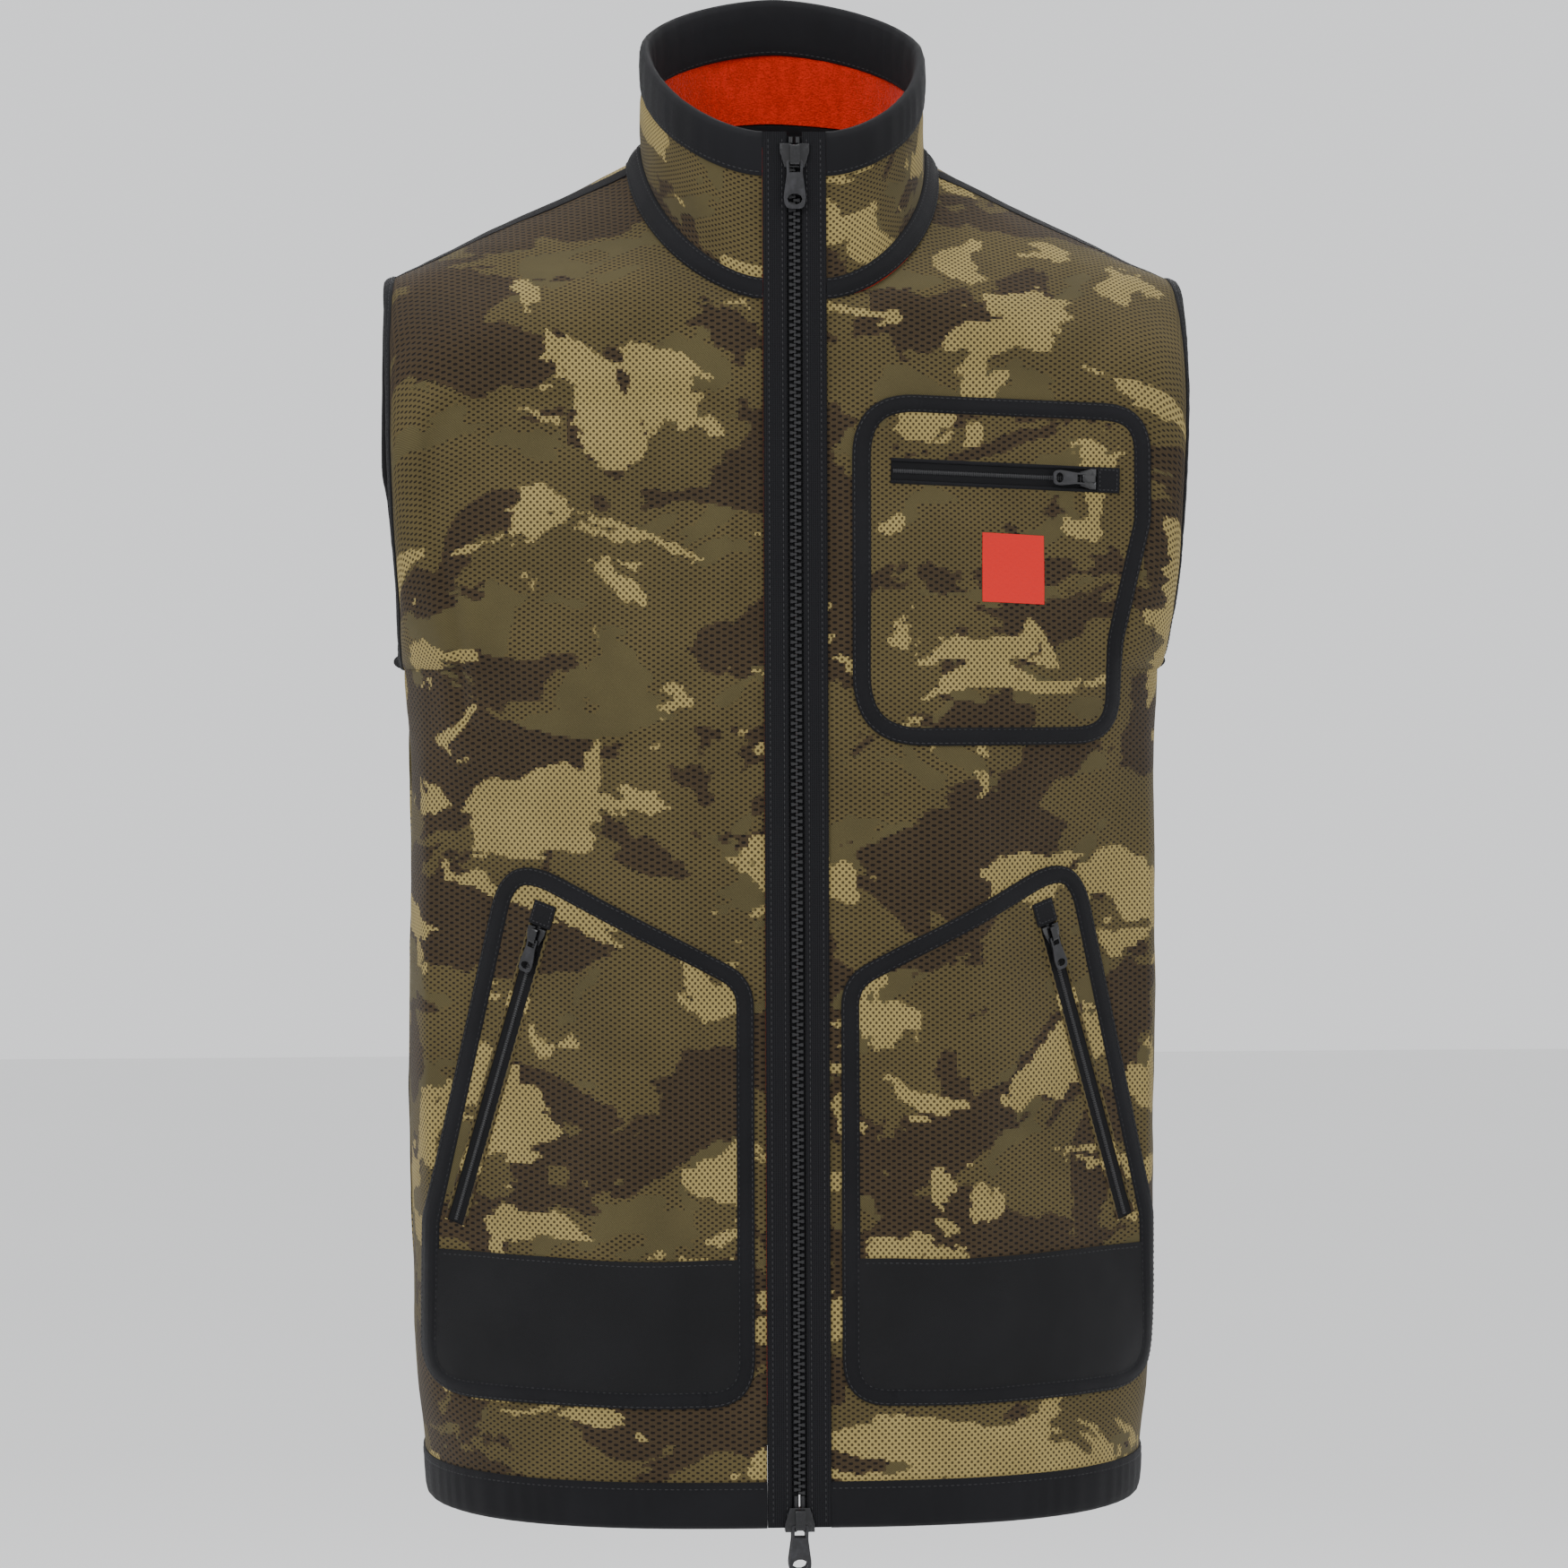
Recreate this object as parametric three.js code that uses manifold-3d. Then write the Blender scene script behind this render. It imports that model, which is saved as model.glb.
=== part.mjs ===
import * as THREE from "three";
import { mergeVertices } from "three/addons/utils/BufferGeometryUtils.js";
import Module from "manifold-3d";

const wasm = await Module();
wasm.setup();

// A reversible zip-front vest on a standing torso. Millimetres, +Z up, front towards -Y, the wearer's left
// towards +X. Heights are measured up from the hem, and the finished group is lowered so that its origin is
// midway between the two points where the shoulder seams meet the neck.

// Driving heights.
const hemHeight = 22;
const armholeBase = 429;
const shoulderTip = 632;
const frontNeck = 616;
const sideNeck = 689;
const backNeck = 708;
const collarFront = 700;
const collarSide = 752;
const collarBack = 784;

// Driving widths and depths.
const frontDepth = 132; // the zip's foot, in front of the side seams
const zipLean = Math.atan(40 / 690); // the zip leans back towards the neck
const halfWidths = [[0, 186], [100, 193], [250, 195], [400, 195], [armholeBase, 196]];
const backDepths = [[0, 105], [250, 95], [430, 110], [540, 116], [640, 98], [backNeck, 66]];
const neckHalfWidth = 81;
const neckSideDepth = -5; // the shoulder seams run a little in front of the side seams
const armholeHalfDepth = 66;
const shoulderTipX = 201;
const armholeBow = 4.5; // how far the armhole's edge bows outwards at half height
const collarHalfWidth = 73;
const collarBaseHalfWidth = 74;
const collarBackDepth = 58;

// Cloth layers, measured outwards from the outer face of the shell.
const shellThickness = 1.2;
const liningThickness = 1.5;
const gap = 0.3; // between neighbouring pieces
const seamTrim = gap / 2 + 0.02; // each piece's edge stops short of its seam line
const bindingTrim = gap + 0.15; // the thick bindings stop further back, as their seams twist
const bindingProud = 0.8;
const bindingInside = 0.6; // past the lining's inner face
const panelThickness = 1.2;
const patchThickness = 0.9;

// Bindings.
const armholeBinding = 6.5;
const neckBinding = 10.5;
const pocketBinding = 9;
const collarBand = 22;
const shoulderTape = 3;
const shoulderTapeThickness = 0.6;
const armholeFlare = 0.6; // how far the armhole's binding turns outwards

// Main zip: two plackets over two tapes, with a strip of teeth on each tape's edge.
const placketHalf = 15.8;
const placketInner = 4;
const placketFace = -1.6; // in the zip's frame, where the tape's outer face is 0
const placketBack = -0.4;
const shellEdge = placketHalf + gap;
const teethInner = 0.6;
const teethOuter = 3;
const teethHalf = 1.3;
const tapeThickness = 0.8;
const tapeInset = 0.5; // inside the placket's outer edge
const tapeFoot = 4;
const tapeHead = 2; // below the placket's top
const facingInner = 8.3;
const facingThickness = 1;
const pinFoot = 2;
const pinTop = 15.7;
const stopHeight = 3;
const topSliderAt = 689;
const bottomSliderAt = 4;

// Slider and pull of the main zip; the pocket zips carry the same pair at a smaller scale.
const sliderLength = 12;
const sliderHalfTop = 7.4;
const sliderHalfFoot = 5;
const plateThickness = 1.5;
const plateInner = 2; // from the zip's plane to the front plate
const plateNotch = 2;
const postHalf = 0.3;
const postLength = 5;
const crownHalf = 2.4;
const crownClear = 2;
const crownBar = 1;
const crownEnd = 0.6; // from the plate's end
const crownLeg = 1.2;
const crownChamfer = 0.5;
const weld = 0.1; // how far joined solids run into each other
const pullThickness = 1.2;
const pullLength = 24;
const pullEye = 6;
const pullTopHalf = 4.4;
const pullWaistHalf = 4;
const pullFootHalf = 5.8;
const pullHole = [3.8, 2.8];
const pullRim = 2.1;
const pullDrop = 3.2; // its bar, above the slider's middle
const pocketSliderScale = 0.7;

// Pocket zips.
const slotHalf = 5.2;
const coilHalf = 1.3;
const garageLength = 12;
const garageHalf = 6.5;
const garageThickness = 0.8;
const slotEnd = 0.7; // the slot's closed end, inside the garage
const slotDepth = 3;
const slotReach = 6;
const pocketTapeThickness = 0.9;
const coilThickness = 0.7;

// Pocket outlines as [x, height, corner radius], on the wearer's left; the right side mirrors them.
const handPocket = [[22, 60, 24], [22, 275, 24], [146, 339, 24], [188, 148, 30], [189, 60, 26]];
const chestPocket = [[28.5, 569, 32], [28.5, 391, 36], [168, 391, 34], [169, 443, 40], [184, 505, 40],
  [184, 564, 26]];
const handPocketZip = [[128, 300], [171, 148]]; // closed end first
const chestPocketZip = [[155, 525.5], [48, 529.5]];
const reinforcementTop = 134;
const patchCentre = [110.5, 480];
const patchHalf = [16, 17.5];

// The front is worked flat under the two kinds of pocket zip: its depth behind the main zip's plane at this
// x, and how fast it falls back from there towards the side.
const chestPlane = { start: -3, at: 36, slope: 0.2 };
const hipPlane = { start: 11, at: 112, slope: 0.62 };
const flatMargin = 24; // how far the hip's flat runs past its zip

// Rows of the cloth grid: shares of the height from the hem band up to the armhole, then equal steps round it.
const rowShares = [0, 0.13, 0.253, 0.491, 0.732, 0.867, 1];
const lowRows = [0, ...rowShares.map((share) => hemHeight + share * (armholeBase - hemHeight))];
const baseRow = lowRows.length - 1;
const neckRow = baseRow + 4;
const topRow = baseRow + 8;
const columns = [0, 0.1, 0.3, 0.535, 0.69, 0.84, 0.94, 0.985, 1];

const lerp = THREE.MathUtils.lerp;
const vec = (x, y, z) => new THREE.Vector3(x, y, z);

// A smooth curve through [position, value] pairs.
function through(pairs, at) {
  const last = pairs.length - 1;
  let k = 0;
  while (k < last - 1 && at > pairs[k + 1][0]) k += 1;
  const slope = (i) => {
    const a = pairs[Math.max(i - 1, 0)];
    const b = pairs[Math.min(i + 1, last)];
    return (b[1] - a[1]) / (b[0] - a[0]);
  };
  const [x0, y0] = pairs[k];
  const [x1, y1] = pairs[k + 1];
  const t = (at - x0) / (x1 - x0);
  const near = (1 + 2 * t) * (1 - t) * (1 - t) * y0 + t * t * (3 - 2 * t) * y1;
  const lean = t * (1 - t) * (1 - t) * slope(k) - t * t * (1 - t) * slope(k + 1);
  return near + lean * (x1 - x0);
}

// The zip's plane at a height.
const zipDepth = (height) => height * Math.tan(zipLean) - frontDepth;

// A quarter of the neck, from its centre point to its side point.
function neckQuarter(centre, side, share) {
  const turn = (share * Math.PI) / 2;
  const drop = 1 - Math.cos(turn);
  return vec(
    lerp(centre.x, side.x, Math.sin(turn)),
    lerp(centre.y, side.y, drop),
    lerp(centre.z, side.z, drop ** 0.85),
  );
}

// The four lines round the neck, from the shell's edge up to the collar's top edge.
function neckLine(frontHeight, sideHeight, backHeight, halfWidth, backAt) {
  return {
    front: vec(shellEdge, zipDepth(frontHeight), frontHeight),
    side: vec(halfWidth, neckSideDepth, sideHeight),
    back: vec(0, backAt, backHeight),
  };
}
const neckLines = [
  neckLine(frontNeck, sideNeck, backNeck, neckHalfWidth, through(backDepths, backNeck)),
  neckLine(frontNeck + neckBinding, sideNeck + neckBinding, backNeck + neckBinding,
    collarBaseHalfWidth, collarBackDepth + 2),
  neckLine(collarFront - collarBand, collarSide - collarBand, collarBack - collarBand,
    collarHalfWidth, collarBackDepth),
  neckLine(collarFront, collarSide, collarBack, collarHalfWidth, collarBackDepth),
];

// The armhole's edge: turn is 0 at its base and pi at the shoulder's tip; way is -1 in front and 1 behind.
function armhole(turn, way) {
  const middle = (armholeBase + shoulderTip) / 2;
  const base = through(halfWidths, armholeBase);
  return vec(
    lerp(base, shoulderTipX, (1 - Math.cos(turn)) / 2) + armholeBow * Math.sin(turn),
    way * armholeHalfDepth * Math.sin(turn),
    middle - ((shoulderTip - armholeBase) / 2) * Math.cos(turn),
  );
}

function rowHeight(row) {
  const k = Math.min(Math.floor(row), baseRow - 1);
  return lerp(lowRows[k], lowRows[k + 1], row - k);
}

// Where a row of the front starts beside the zip, or of the back on its centre line.
function innerEdge(row, way) {
  const neck = neckLines[0];
  const top = way < 0 ? neck.front : neck.back;
  if (row >= neckRow) return neckQuarter(top, neck.side, (row - neckRow) / (topRow - neckRow));
  const climb = (row - baseRow) / (neckRow - baseRow);
  const height = row <= baseRow ? rowHeight(row) : lerp(armholeBase, top.z, climb);
  return way < 0
    ? vec(shellEdge, zipDepth(height), height)
    : vec(0, through(backDepths, height), height);
}

function outerEdge(row, way) {
  if (row > baseRow) return armhole(((row - baseRow) / (topRow - baseRow)) * Math.PI, way);
  const height = rowHeight(row);
  return vec(through(halfWidths, height), 0, height);
}

// 1 from b to c, falling smoothly to 0 at a and d.
function bump(at, a, b, c, d) {
  const rise = THREE.MathUtils.smoothstep(at, a, b);
  return rise * (1 - THREE.MathUtils.smoothstep(at, c, d));
}

// The cloth's outer face: share runs from the centre to the side, row from the hem to the shoulder.
function clothPoint(share, row, way) {
  const inner = innerEdge(row, way);
  const outer = outerEdge(row, way);
  const lift = Math.max(0, (row - baseRow) / (topRow - baseRow));
  const power = way < 0 ? lerp(2.6, 1.3, lift) : lerp(2.3, 1.3, lift);
  const turned = 1 - (1 - share ** power) ** (1 / power);
  const p = vec(lerp(inner.x, outer.x, share), lerp(inner.y, outer.y, turned),
    lerp(inner.z, outer.z, share));
  if (way > 0) return p;
  const flat = (plane) => zipDepth(p.z) + plane.start + plane.slope * (p.x - plane.at);
  const chest = bump(row, baseRow - 0.5, baseRow + 2, neckRow, neckRow + 2.5) *
    bump(share, 0, 0.1, 0.84, 1);
  const [hipTop, hipFoot] = handPocketZip.map((end) => end[1]);
  const hip = bump(p.z, hemHeight, hipFoot - flatMargin, hipTop + flatMargin, armholeBase) *
    bump(share, 0.15, 0.535, 0.94, 1);
  p.y = lerp(p.y, flat(chestPlane), chest);
  p.y = lerp(p.y, flat(hipPlane), hip);
  return p;
}

// Four-cornered cells whose corners run so that their normal points out of the vest.
function gridCells(points, flip) {
  const cells = [];
  for (let i = 0; i + 1 < points.length; i += 1) {
    for (let j = 0; j + 1 < points[i].length; j += 1) {
      const cell = [points[i][j], points[i + 1][j], points[i + 1][j + 1], points[i][j + 1]];
      cells.push(flip ? [cell[0], cell[3], cell[2], cell[1]] : cell);
    }
  }
  return cells;
}

// The cells of one half, side 1 on the wearer's left and -1 on the right.
function halfCells(way, side, firstRow, lastRow) {
  const points = columns.map((share) => {
    const column = [];
    for (let row = firstRow; row <= lastRow; row += 1) {
      const p = clothPoint(share, row, way);
      column.push(vec(p.x * side, p.y, p.z));
    }
    return column;
  });
  return gridCells(points, way * side > 0);
}

const quarterSteps = topRow - neckRow;
// The neck line's points from the zip round the back to the zip.
function neckRing(line) {
  const half = [];
  for (let k = 0; k <= quarterSteps; k += 1) half.push(neckQuarter(line.front, line.side, k / quarterSteps));
  for (let k = quarterSteps - 1; k >= 0; k -= 1) half.push(neckQuarter(line.back, line.side, k / quarterSteps));
  const mirrored = half.slice(0, -1).reverse().map((p) => vec(-p.x, p.y, p.z));
  return [...half, ...mirrored];
}
const neckRings = neckLines.map(neckRing);
const ringCells = (low, high) => gridCells(neckRings[low].map((p, k) => [p, neckRings[high][k]]), false);

const hemCells = [-1, 1].flatMap((side) => [-1, 1].flatMap((way) => halfCells(way, side, 0, 1)));
const frontCells = { left: halfCells(-1, 1, 1, topRow), right: halfCells(-1, -1, 1, topRow) };
const backCells = [...halfCells(1, 1, 1, topRow), ...halfCells(1, -1, 1, topRow)];
const neckCells = [0, 1, 2].map((k) => ringCells(k, k + 1));

const keyOf = (p) => [p.x, p.y, p.z].map((v) => Math.round(v * 1000)).join();

// One outward direction for each point of the cloth, shared by every layer and every piece there.
const outwards = new Map();
for (const cell of [...hemCells, ...frontCells.left, ...frontCells.right, ...backCells, ...neckCells.flat()]) {
  const across = vec(0, 0, 0).subVectors(cell[2], cell[0]);
  const up = vec(0, 0, 0).subVectors(cell[3], cell[1]);
  const facing = across.cross(up);
  for (const p of cell) {
    const key = keyOf(p);
    if (!outwards.has(key)) outwards.set(key, vec(0, 0, 0));
    outwards.get(key).add(facing);
  }
}
for (const n of outwards.values()) n.normalize();

function geometryOf(points, triangles) {
  const flat = new Float32Array(points.flatMap((p) => [p.x, p.y, p.z]));
  const geometry = new THREE.BufferGeometry();
  geometry.setAttribute("position", new THREE.BufferAttribute(flat, 3));
  geometry.setIndex(triangles.flat());
  return geometry;
}

// A closed slab of cloth over these cells, from the outer to the inner offset, its edges trimmed back.
function clothSolid(cells, outer, inner, trim = seamTrim, directions = outwards) {
  const index = new Map();
  const points = [];
  const normals = [];
  const at = (p) => {
    const key = keyOf(p);
    if (!index.has(key)) {
      index.set(key, points.length);
      points.push(p.clone());
      normals.push(directions.get(key));
    }
    return index.get(key);
  };
  const faces = cells.map((cell) => cell.map(at));
  const edges = new Map();
  for (const face of faces) face.forEach((a, k) => edges.set(a + "," + face[(k + 1) % 4], true));
  const border = [...edges.keys()].map((e) => e.split(",").map(Number)).filter(([a, b]) => !edges.has(b + "," + a));
  const inwards = points.map(() => []);
  for (const [a, b] of border) {
    const along = vec(0, 0, 0).subVectors(points[b], points[a]).normalize();
    for (const end of [a, b]) inwards[end].push(normals[end].clone().cross(along).normalize());
  }
  inwards.forEach((ways, k) => {
    if (ways.length < 2) return;
    const share = trim / (1 + ways[0].dot(ways[1]));
    points[k].addScaledVector(ways[0], share).addScaledVector(ways[1], share);
  });
  const count = points.length;
  const outside = points.map((p, k) => p.clone().addScaledVector(normals[k], outer));
  const inside = points.map((p, k) => p.clone().addScaledVector(normals[k], inner));
  const triangles = [];
  for (const [a, b, c, d] of faces) {
    triangles.push([a, b, c], [a, c, d]);
    triangles.push([count + c, count + b, count + a], [count + d, count + c, count + a]);
  }
  // An edge's wall is split the same way as its neighbour's, so that twisted seams stay parallel.
  for (const [a, b] of border) {
    const rises = points[b].z - points[a].z || points[b].y - points[a].y;
    if (rises > 0) triangles.push([b, a, count + a], [b, count + a, count + b]);
    else triangles.push([b, a, count + b], [a, count + a, count + b]);
  }
  return geometryOf([...outside, ...inside], triangles);
}

function toSolid(geometry, matrix) {
  const bare = geometry.clone();
  bare.deleteAttribute("normal");
  bare.deleteAttribute("uv");
  if (matrix) bare.applyMatrix4(matrix);
  const merged = mergeVertices(bare, 1e-4);
  return new wasm.Manifold(new wasm.Mesh({
    numProp: 3,
    vertProperties: merged.attributes.position.array,
    triVerts: new Uint32Array(merged.index.array),
  }));
}

function fromSolid(solid) {
  const mesh = solid.getMesh();
  const points = [];
  for (let k = 0; k < mesh.vertProperties.length; k += mesh.numProp) {
    points.push(vec(...mesh.vertProperties.subarray(k, k + 3)));
  }
  return geometryOf(points, Array.from(mesh.triVerts));
}

// An outline with rounded corners, as a THREE.Shape point list.
function roundedOutline(corners, steps = 5) {
  return corners.flatMap(([x, z, radius], k) => {
    const corner = new THREE.Vector2(x, z);
    const [px, pz] = corners[(k + corners.length - 1) % corners.length];
    const [nx, nz] = corners[(k + 1) % corners.length];
    const before = new THREE.Vector2(px, pz).sub(corner);
    const after = new THREE.Vector2(nx, nz).sub(corner);
    const bend = Math.PI - Math.abs(before.angle() - after.angle());
    const reach = radius * Math.tan(Math.abs(bend) / 2);
    const limit = Math.min(before.length(), after.length()) * 0.48;
    const cut = Math.min(reach, limit);
    const start = corner.clone().addScaledVector(before.normalize(), cut);
    const end = corner.clone().addScaledVector(after.normalize(), cut);
    return new THREE.QuadraticBezierCurve(start, corner, end).getPoints(steps);
  });
}

// The same outline moved inwards by a distance; it runs clockwise or counter-clockwise.
function insetOutline(points, distance) {
  const sign = THREE.ShapeUtils.isClockWise(points) ? -1 : 1;
  return points.map((p, k) => {
    const before = points[(k + points.length - 1) % points.length];
    const after = points[(k + 1) % points.length];
    const along = after.clone().sub(before).normalize();
    return p.clone().add(new THREE.Vector2(-along.y, along.x).multiplyScalar(sign * distance));
  });
}

// A prism through the whole front, from an outline in the XZ plane.
function prism(points) {
  const ordered = THREE.ShapeUtils.isClockWise(points) ? [...points].reverse() : points;
  const geometry = new THREE.ExtrudeGeometry(new THREE.Shape(ordered), {
    depth: 2 * frontDepth,
    bevelEnabled: false,
  });
  geometry.rotateX(Math.PI / 2);
  geometry.translate(0, frontDepth / 4, 0);
  return toSolid(geometry);
}

const materials = {
  shell: { color: 0x5c5338, roughness: 0.95 },
  fleece: { color: 0xcd391e, roughness: 0.95 },
  trim: { color: 0x1c1c20, roughness: 0.85 },
  zip: { color: 0x17171a, roughness: 0.55 },
  pull: { color: 0x26262b, roughness: 0.45 },
  patch: { color: 0xe1322a, roughness: 0.6 },
};

const vest = new THREE.Group();
function addMesh(name, geometry, finish, parent = vest) {
  const mesh = new THREE.Mesh(geometry, new THREE.MeshStandardMaterial({ metalness: 0, ...materials[finish] }));
  mesh.name = name;
  parent.add(mesh);
  return mesh;
}

function box(x0, x1, y0, y1, z0, z1) {
  const geometry = new THREE.BoxGeometry(x1 - x0, y1 - y0, z1 - z0);
  return geometry.translate((x0 + x1) / 2, (y0 + y1) / 2, (z0 + z1) / 2);
}

// Shells and linings.
const liningOuter = -shellThickness - gap;
const liningInner = liningOuter - liningThickness;
for (const hand of ["left", "right"]) {
  addMesh(hand + "_front_shell", clothSolid(frontCells[hand], 0, -shellThickness), "shell");
  addMesh(hand + "_front_lining", clothSolid(frontCells[hand], liningOuter, liningInner), "fleece");
}
addMesh("back_shell", clothSolid(backCells, 0, -shellThickness), "shell");
addMesh("back_lining", clothSolid(backCells, liningOuter, liningInner), "fleece");

// Bands and bindings that wrap the cut edges of both layers.
const wrapInner = liningInner - bindingInside;
addMesh("hem_band", clothSolid(hemCells, bindingProud, wrapInner), "trim");
addMesh("neck_binding", clothSolid(neckCells[0], bindingProud, wrapInner, bindingTrim), "trim");
addMesh("collar_shell", clothSolid(neckCells[1], 0, -shellThickness), "shell");
addMesh("collar_lining", clothSolid(neckCells[1], liningOuter, liningInner), "fleece");
addMesh("collar_top_band", clothSolid(neckCells[2], bindingProud, wrapInner), "trim");

// Armhole bindings: a ring that carries the cloth on from its edge towards the middle of the armhole.
const armholeMiddle = vec(0, 0, (armholeBase + shoulderTip) / 2);
for (const side of [1, -1]) {
  const edge = [];
  for (let row = baseRow; row <= topRow; row += 1) edge.push(outerEdge(row, -1));
  for (let row = topRow - 1; row > baseRow; row -= 1) edge.push(outerEdge(row, 1));
  const directions = new Map();
  const points = edge.map((p) => {
    const seam = vec(p.x * side, p.y, p.z);
    const facing = outwards.get(keyOf(seam));
    const aim = vec(0, -seam.y, armholeMiddle.z - seam.z).normalize();
    aim.x = side * armholeFlare;
    aim.addScaledVector(facing, -aim.dot(facing)).normalize();
    const rim = seam.clone().addScaledVector(aim, armholeBinding);
    directions.set(keyOf(seam), facing);
    directions.set(keyOf(rim), facing);
    return [seam, rim];
  });
  const cells = gridCells([...points, points[0]], side > 0);
  const hand = side > 0 ? "left" : "right";
  addMesh(hand + "_armhole_binding", clothSolid(cells, bindingProud, wrapInner, bindingTrim, directions), "trim");
}

// Shoulder tapes: narrow strips sewn on the front, just below each shoulder seam.
for (const side of [1, -1]) {
  const directions = new Map();
  const points = columns.slice(0, -1).map((share) => {
    const top = clothPoint(share, topRow, -1);
    const below = clothPoint(share, topRow - 1, -1);
    const seam = vec(top.x * side, top.y, top.z);
    const facing = outwards.get(keyOf(seam));
    const down = vec(below.x * side, below.y, below.z).sub(seam).normalize();
    const low = seam.clone().addScaledVector(down, shoulderTape);
    directions.set(keyOf(seam), facing);
    directions.set(keyOf(low), facing);
    return [low, seam];
  });
  const cells = gridCells(points, side < 0);
  const hand = side > 0 ? "left" : "right";
  addMesh(hand + "_shoulder_tape", clothSolid(cells, gap + shoulderTapeThickness, gap, gap, directions), "trim");
}

// Main zip, in its own leaning frame: z runs up the zip and -y points out of the vest.
const zipGroup = new THREE.Group();
zipGroup.position.set(0, -frontDepth, 0);
zipGroup.rotation.x = -zipLean;
vest.add(zipGroup);
const zipTop = collarFront / Math.cos(zipLean);
for (const side of [1, -1]) {
  const hand = side > 0 ? "left" : "right";
  const sideBox = (near, far, y0, y1, z0, z1) =>
    side > 0 ? box(near, far, y0, y1, z0, z1) : box(-far, -near, y0, y1, z0, z1);
  const teethTop = topSliderAt + sliderLength / 2 + gap;
  addMesh(hand + "_zip_tape", sideBox(teethOuter + gap, placketHalf - tapeInset, 0, tapeThickness, tapeFoot,
    zipTop - tapeHead), "trim", zipGroup);
  addMesh(hand + "_zip_teeth", sideBox(teethInner, teethOuter, -teethHalf, teethHalf, pinTop + gap, teethTop),
    "zip", zipGroup);
  addMesh(hand + "_zip_pin", sideBox(teethInner, teethOuter, -teethHalf, teethHalf, pinFoot, pinTop),
    "zip", zipGroup);
  addMesh(hand + "_zip_top_stop", sideBox(teethInner, teethOuter, -teethHalf, teethHalf,
    teethTop + gap, teethTop + gap + stopHeight), "zip", zipGroup);
  addMesh(hand + "_placket", sideBox(placketInner, placketHalf, placketFace, placketBack, 0, zipTop),
    "trim", zipGroup);
  addMesh(hand + "_zip_facing", sideBox(facingInner, placketHalf - tapeInset, tapeThickness + gap,
    tapeThickness + gap + facingThickness, 0, zipTop), "trim", zipGroup);
}

// A slider's plate in the XZ plane, its shoulders up, from y0 (outer) to y1.
function sliderPlate(y0, y1) {
  const half = sliderLength / 2;
  const outline = [[-sliderHalfFoot, -half], [sliderHalfFoot, -half], [sliderHalfTop, half / 3],
    [sliderHalfTop, half], [plateNotch, half], [0, half - plateNotch], [-plateNotch, half], [-sliderHalfTop, half],
    [-sliderHalfTop, half / 3]];
  const shape = new THREE.Shape(outline.map(([x, z]) => new THREE.Vector2(x, z)));
  const geometry = new THREE.ExtrudeGeometry(shape, { depth: y1 - y0, bevelEnabled: false });
  return toSolid(geometry.rotateX(Math.PI / 2).translate(0, y1, 0));
}

// The bridge on a slider's plate, which the pull's bar passes under.
function sliderCrown(y, way) {
  const half = sliderLength / 2 - crownEnd;
  const far = crownClear + crownBar;
  const inside = half - crownLeg;
  const flatTop = half - 3 * crownChamfer;
  const shape = new THREE.Shape([[-half, -2 * weld], [half, -2 * weld], [half - crownChamfer, far - crownChamfer],
    [flatTop, far], [-flatTop, far], [crownChamfer - half, far - crownChamfer]].map(([a, b]) => new THREE.Vector2(a, b)));
  shape.holes.push(new THREE.Path([[-inside, 0], [-inside, crownClear], [inside, crownClear], [inside, 0]]
    .map(([a, b]) => new THREE.Vector2(a, b))));
  const geometry = new THREE.ExtrudeGeometry(shape, { depth: 2 * crownHalf, bevelEnabled: false });
  geometry.translate(0, 0, -crownHalf);
  geometry.applyMatrix4(new THREE.Matrix4().makeBasis(vec(0, 0, 1), vec(0, way, 0), vec(-way, 0, 0)));
  return toSolid(geometry.translate(0, y, 0));
}

// A pull hanging down from its bar at the origin, with an eye round the crown and a finger hole at its foot.
function pullGeometry() {
  const half = pullThickness / 2;
  const foot = -pullLength;
  const holeHeight = foot + pullRim + pullHole[1];
  const right = [[pullTopHalf, foot, 4], [pullFootHalf, holeHeight, 12], [pullWaistHalf, -pullEye, 20],
    [pullTopHalf, half, 1.5]];
  const left = right.map(([x, z, radius]) => [-x, z, radius]).reverse();
  const outline = roundedOutline([...left, ...right], 3);
  const shape = new THREE.Shape(outline);
  const eye = crownHalf + gap + weld;
  const eyeFoot = 1 - pullEye - half;
  shape.holes.push(new THREE.Path([[-eye, -half], [-eye, eyeFoot], [eye, eyeFoot], [eye, -half]]
    .map(([x, z]) => new THREE.Vector2(x, z))));
  const ring = new THREE.Path();
  ring.absellipse(0, holeHeight, ...pullHole, 0, 2 * Math.PI);
  shape.holes.push(new THREE.Path(ring.getPoints(5)));
  const geometry = new THREE.ExtrudeGeometry(shape, { depth: pullThickness, bevelEnabled: false, curveSegments: 5 });
  return geometry.rotateX(Math.PI / 2).translate(0, half, 0);
}

const frontPlate = -plateInner - plateThickness; // outer face of the front plate
const backPlate = teethHalf + gap;
const pullDepth = -frontPlate + crownClear / 2; // the pull's bar, in front of the zip's plane

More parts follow.
